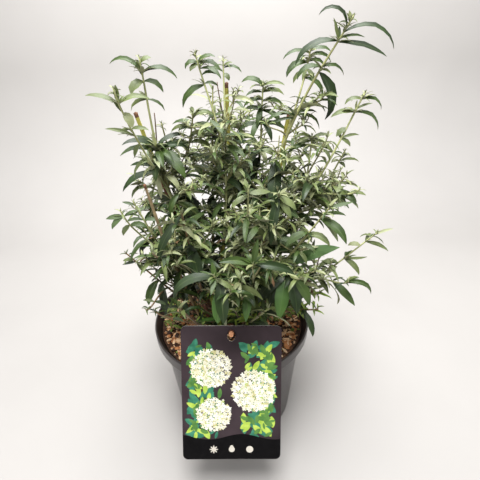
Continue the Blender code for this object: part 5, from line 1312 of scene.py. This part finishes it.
# Floor, light and camera
# A plain pale floor that sweeps up behind, wide soft lights from above, and a camera that looks
# down on the plant from the front.
FLOOR_WIDTH, FLOOR_FRONT, FLOOR_BACK, FLOOR_TOP = 3.2, -1.2, 0.75, 1.4
SWEEP, SWEEP_STEPS = 0.35, 24
sweep = np.linspace(0, math.pi / 2, SWEEP_STEPS)
floor_y = np.concatenate([[FLOOR_FRONT], FLOOR_BACK - SWEEP + SWEEP * np.sin(sweep), [FLOOR_BACK]])
floor_z = np.concatenate([[0], SWEEP * (1 - np.cos(sweep)), [FLOOR_TOP]])
floor_points = [(x, y, z) for x in (-FLOOR_WIDTH / 2, FLOOR_WIDTH / 2)
                for y, z in zip(floor_y, floor_z)]
rows = len(floor_y)
floor_faces = [(i, i + rows, i + rows + 1, i + 1) for i in range(rows - 1)]
floor_mesh = bpy.data.meshes.new("floor")
floor_mesh.from_pydata(floor_points, [], floor_faces)
floor_mesh.polygons.foreach_set("use_smooth", np.ones(rows - 1, bool))
floor_mesh.materials.append(finish("pale_floor", shade(167, 164, 161), shade(163, 160, 157),
                                   grain=4.0, roughness=0.7))
floor = bpy.data.objects.new("floor", floor_mesh)
bpy.context.scene.collection.objects.link(floor)

WORLD_STRENGTH = 0.10
world = bpy.data.worlds.new("studio")
world.use_nodes = True
sky = world.node_tree.nodes["Background"]
sky.inputs["Color"].default_value = shade(240, 240, 246)
sky.inputs["Strength"].default_value = WORLD_STRENGTH
bpy.context.scene.world = world
bpy.context.scene.view_settings.view_transform = "Standard"

# Each light: where it stands, where it points, its size and its power in watts
LIGHTS = {
    "overhead": ((0.00, -0.45, 2.00), (0.00, 0.00, 0.20), 0.80, 52.5),
    "front_left": ((-0.85, -0.95, 0.90), (0.00, 0.00, 0.20), 0.7, 10.0),
    "right_side": ((1.00, -0.30, 0.60), (0.00, 0.00, 0.20), 0.6, 4.0),
    "backdrop": ((0.00, 0.16, 1.15), (0.00, 0.90, 0.30), 0.6, 16.0),
}
for name, (place, aim, size, power) in LIGHTS.items():
    lamp = bpy.data.lights.new(name, "AREA")
    lamp.size, lamp.energy = size, power
    light = bpy.data.objects.new(name, lamp)
    bpy.context.scene.collection.objects.link(light)
    toward = unit(np.array(aim) - np.array(place))
    light.location = place
    light.rotation_euler = (math.acos(-toward[2]), 0, math.atan2(-toward[0], toward[1]))

CAMERA_PLACE = (0.0123, -0.3303, 0.4182)
CAMERA_ANGLES = (60.588, 1.587, -0.895)
SENSOR_WIDTH, LENS = 36.0, 27.6
eye = bpy.data.cameras.new("camera")
eye.sensor_width, eye.lens = SENSOR_WIDTH, LENS
camera = bpy.data.objects.new("camera", eye)
bpy.context.scene.collection.objects.link(camera)
camera.location = CAMERA_PLACE
camera.rotation_euler = [math.radians(angle) for angle in CAMERA_ANGLES]
bpy.context.scene.camera = camera
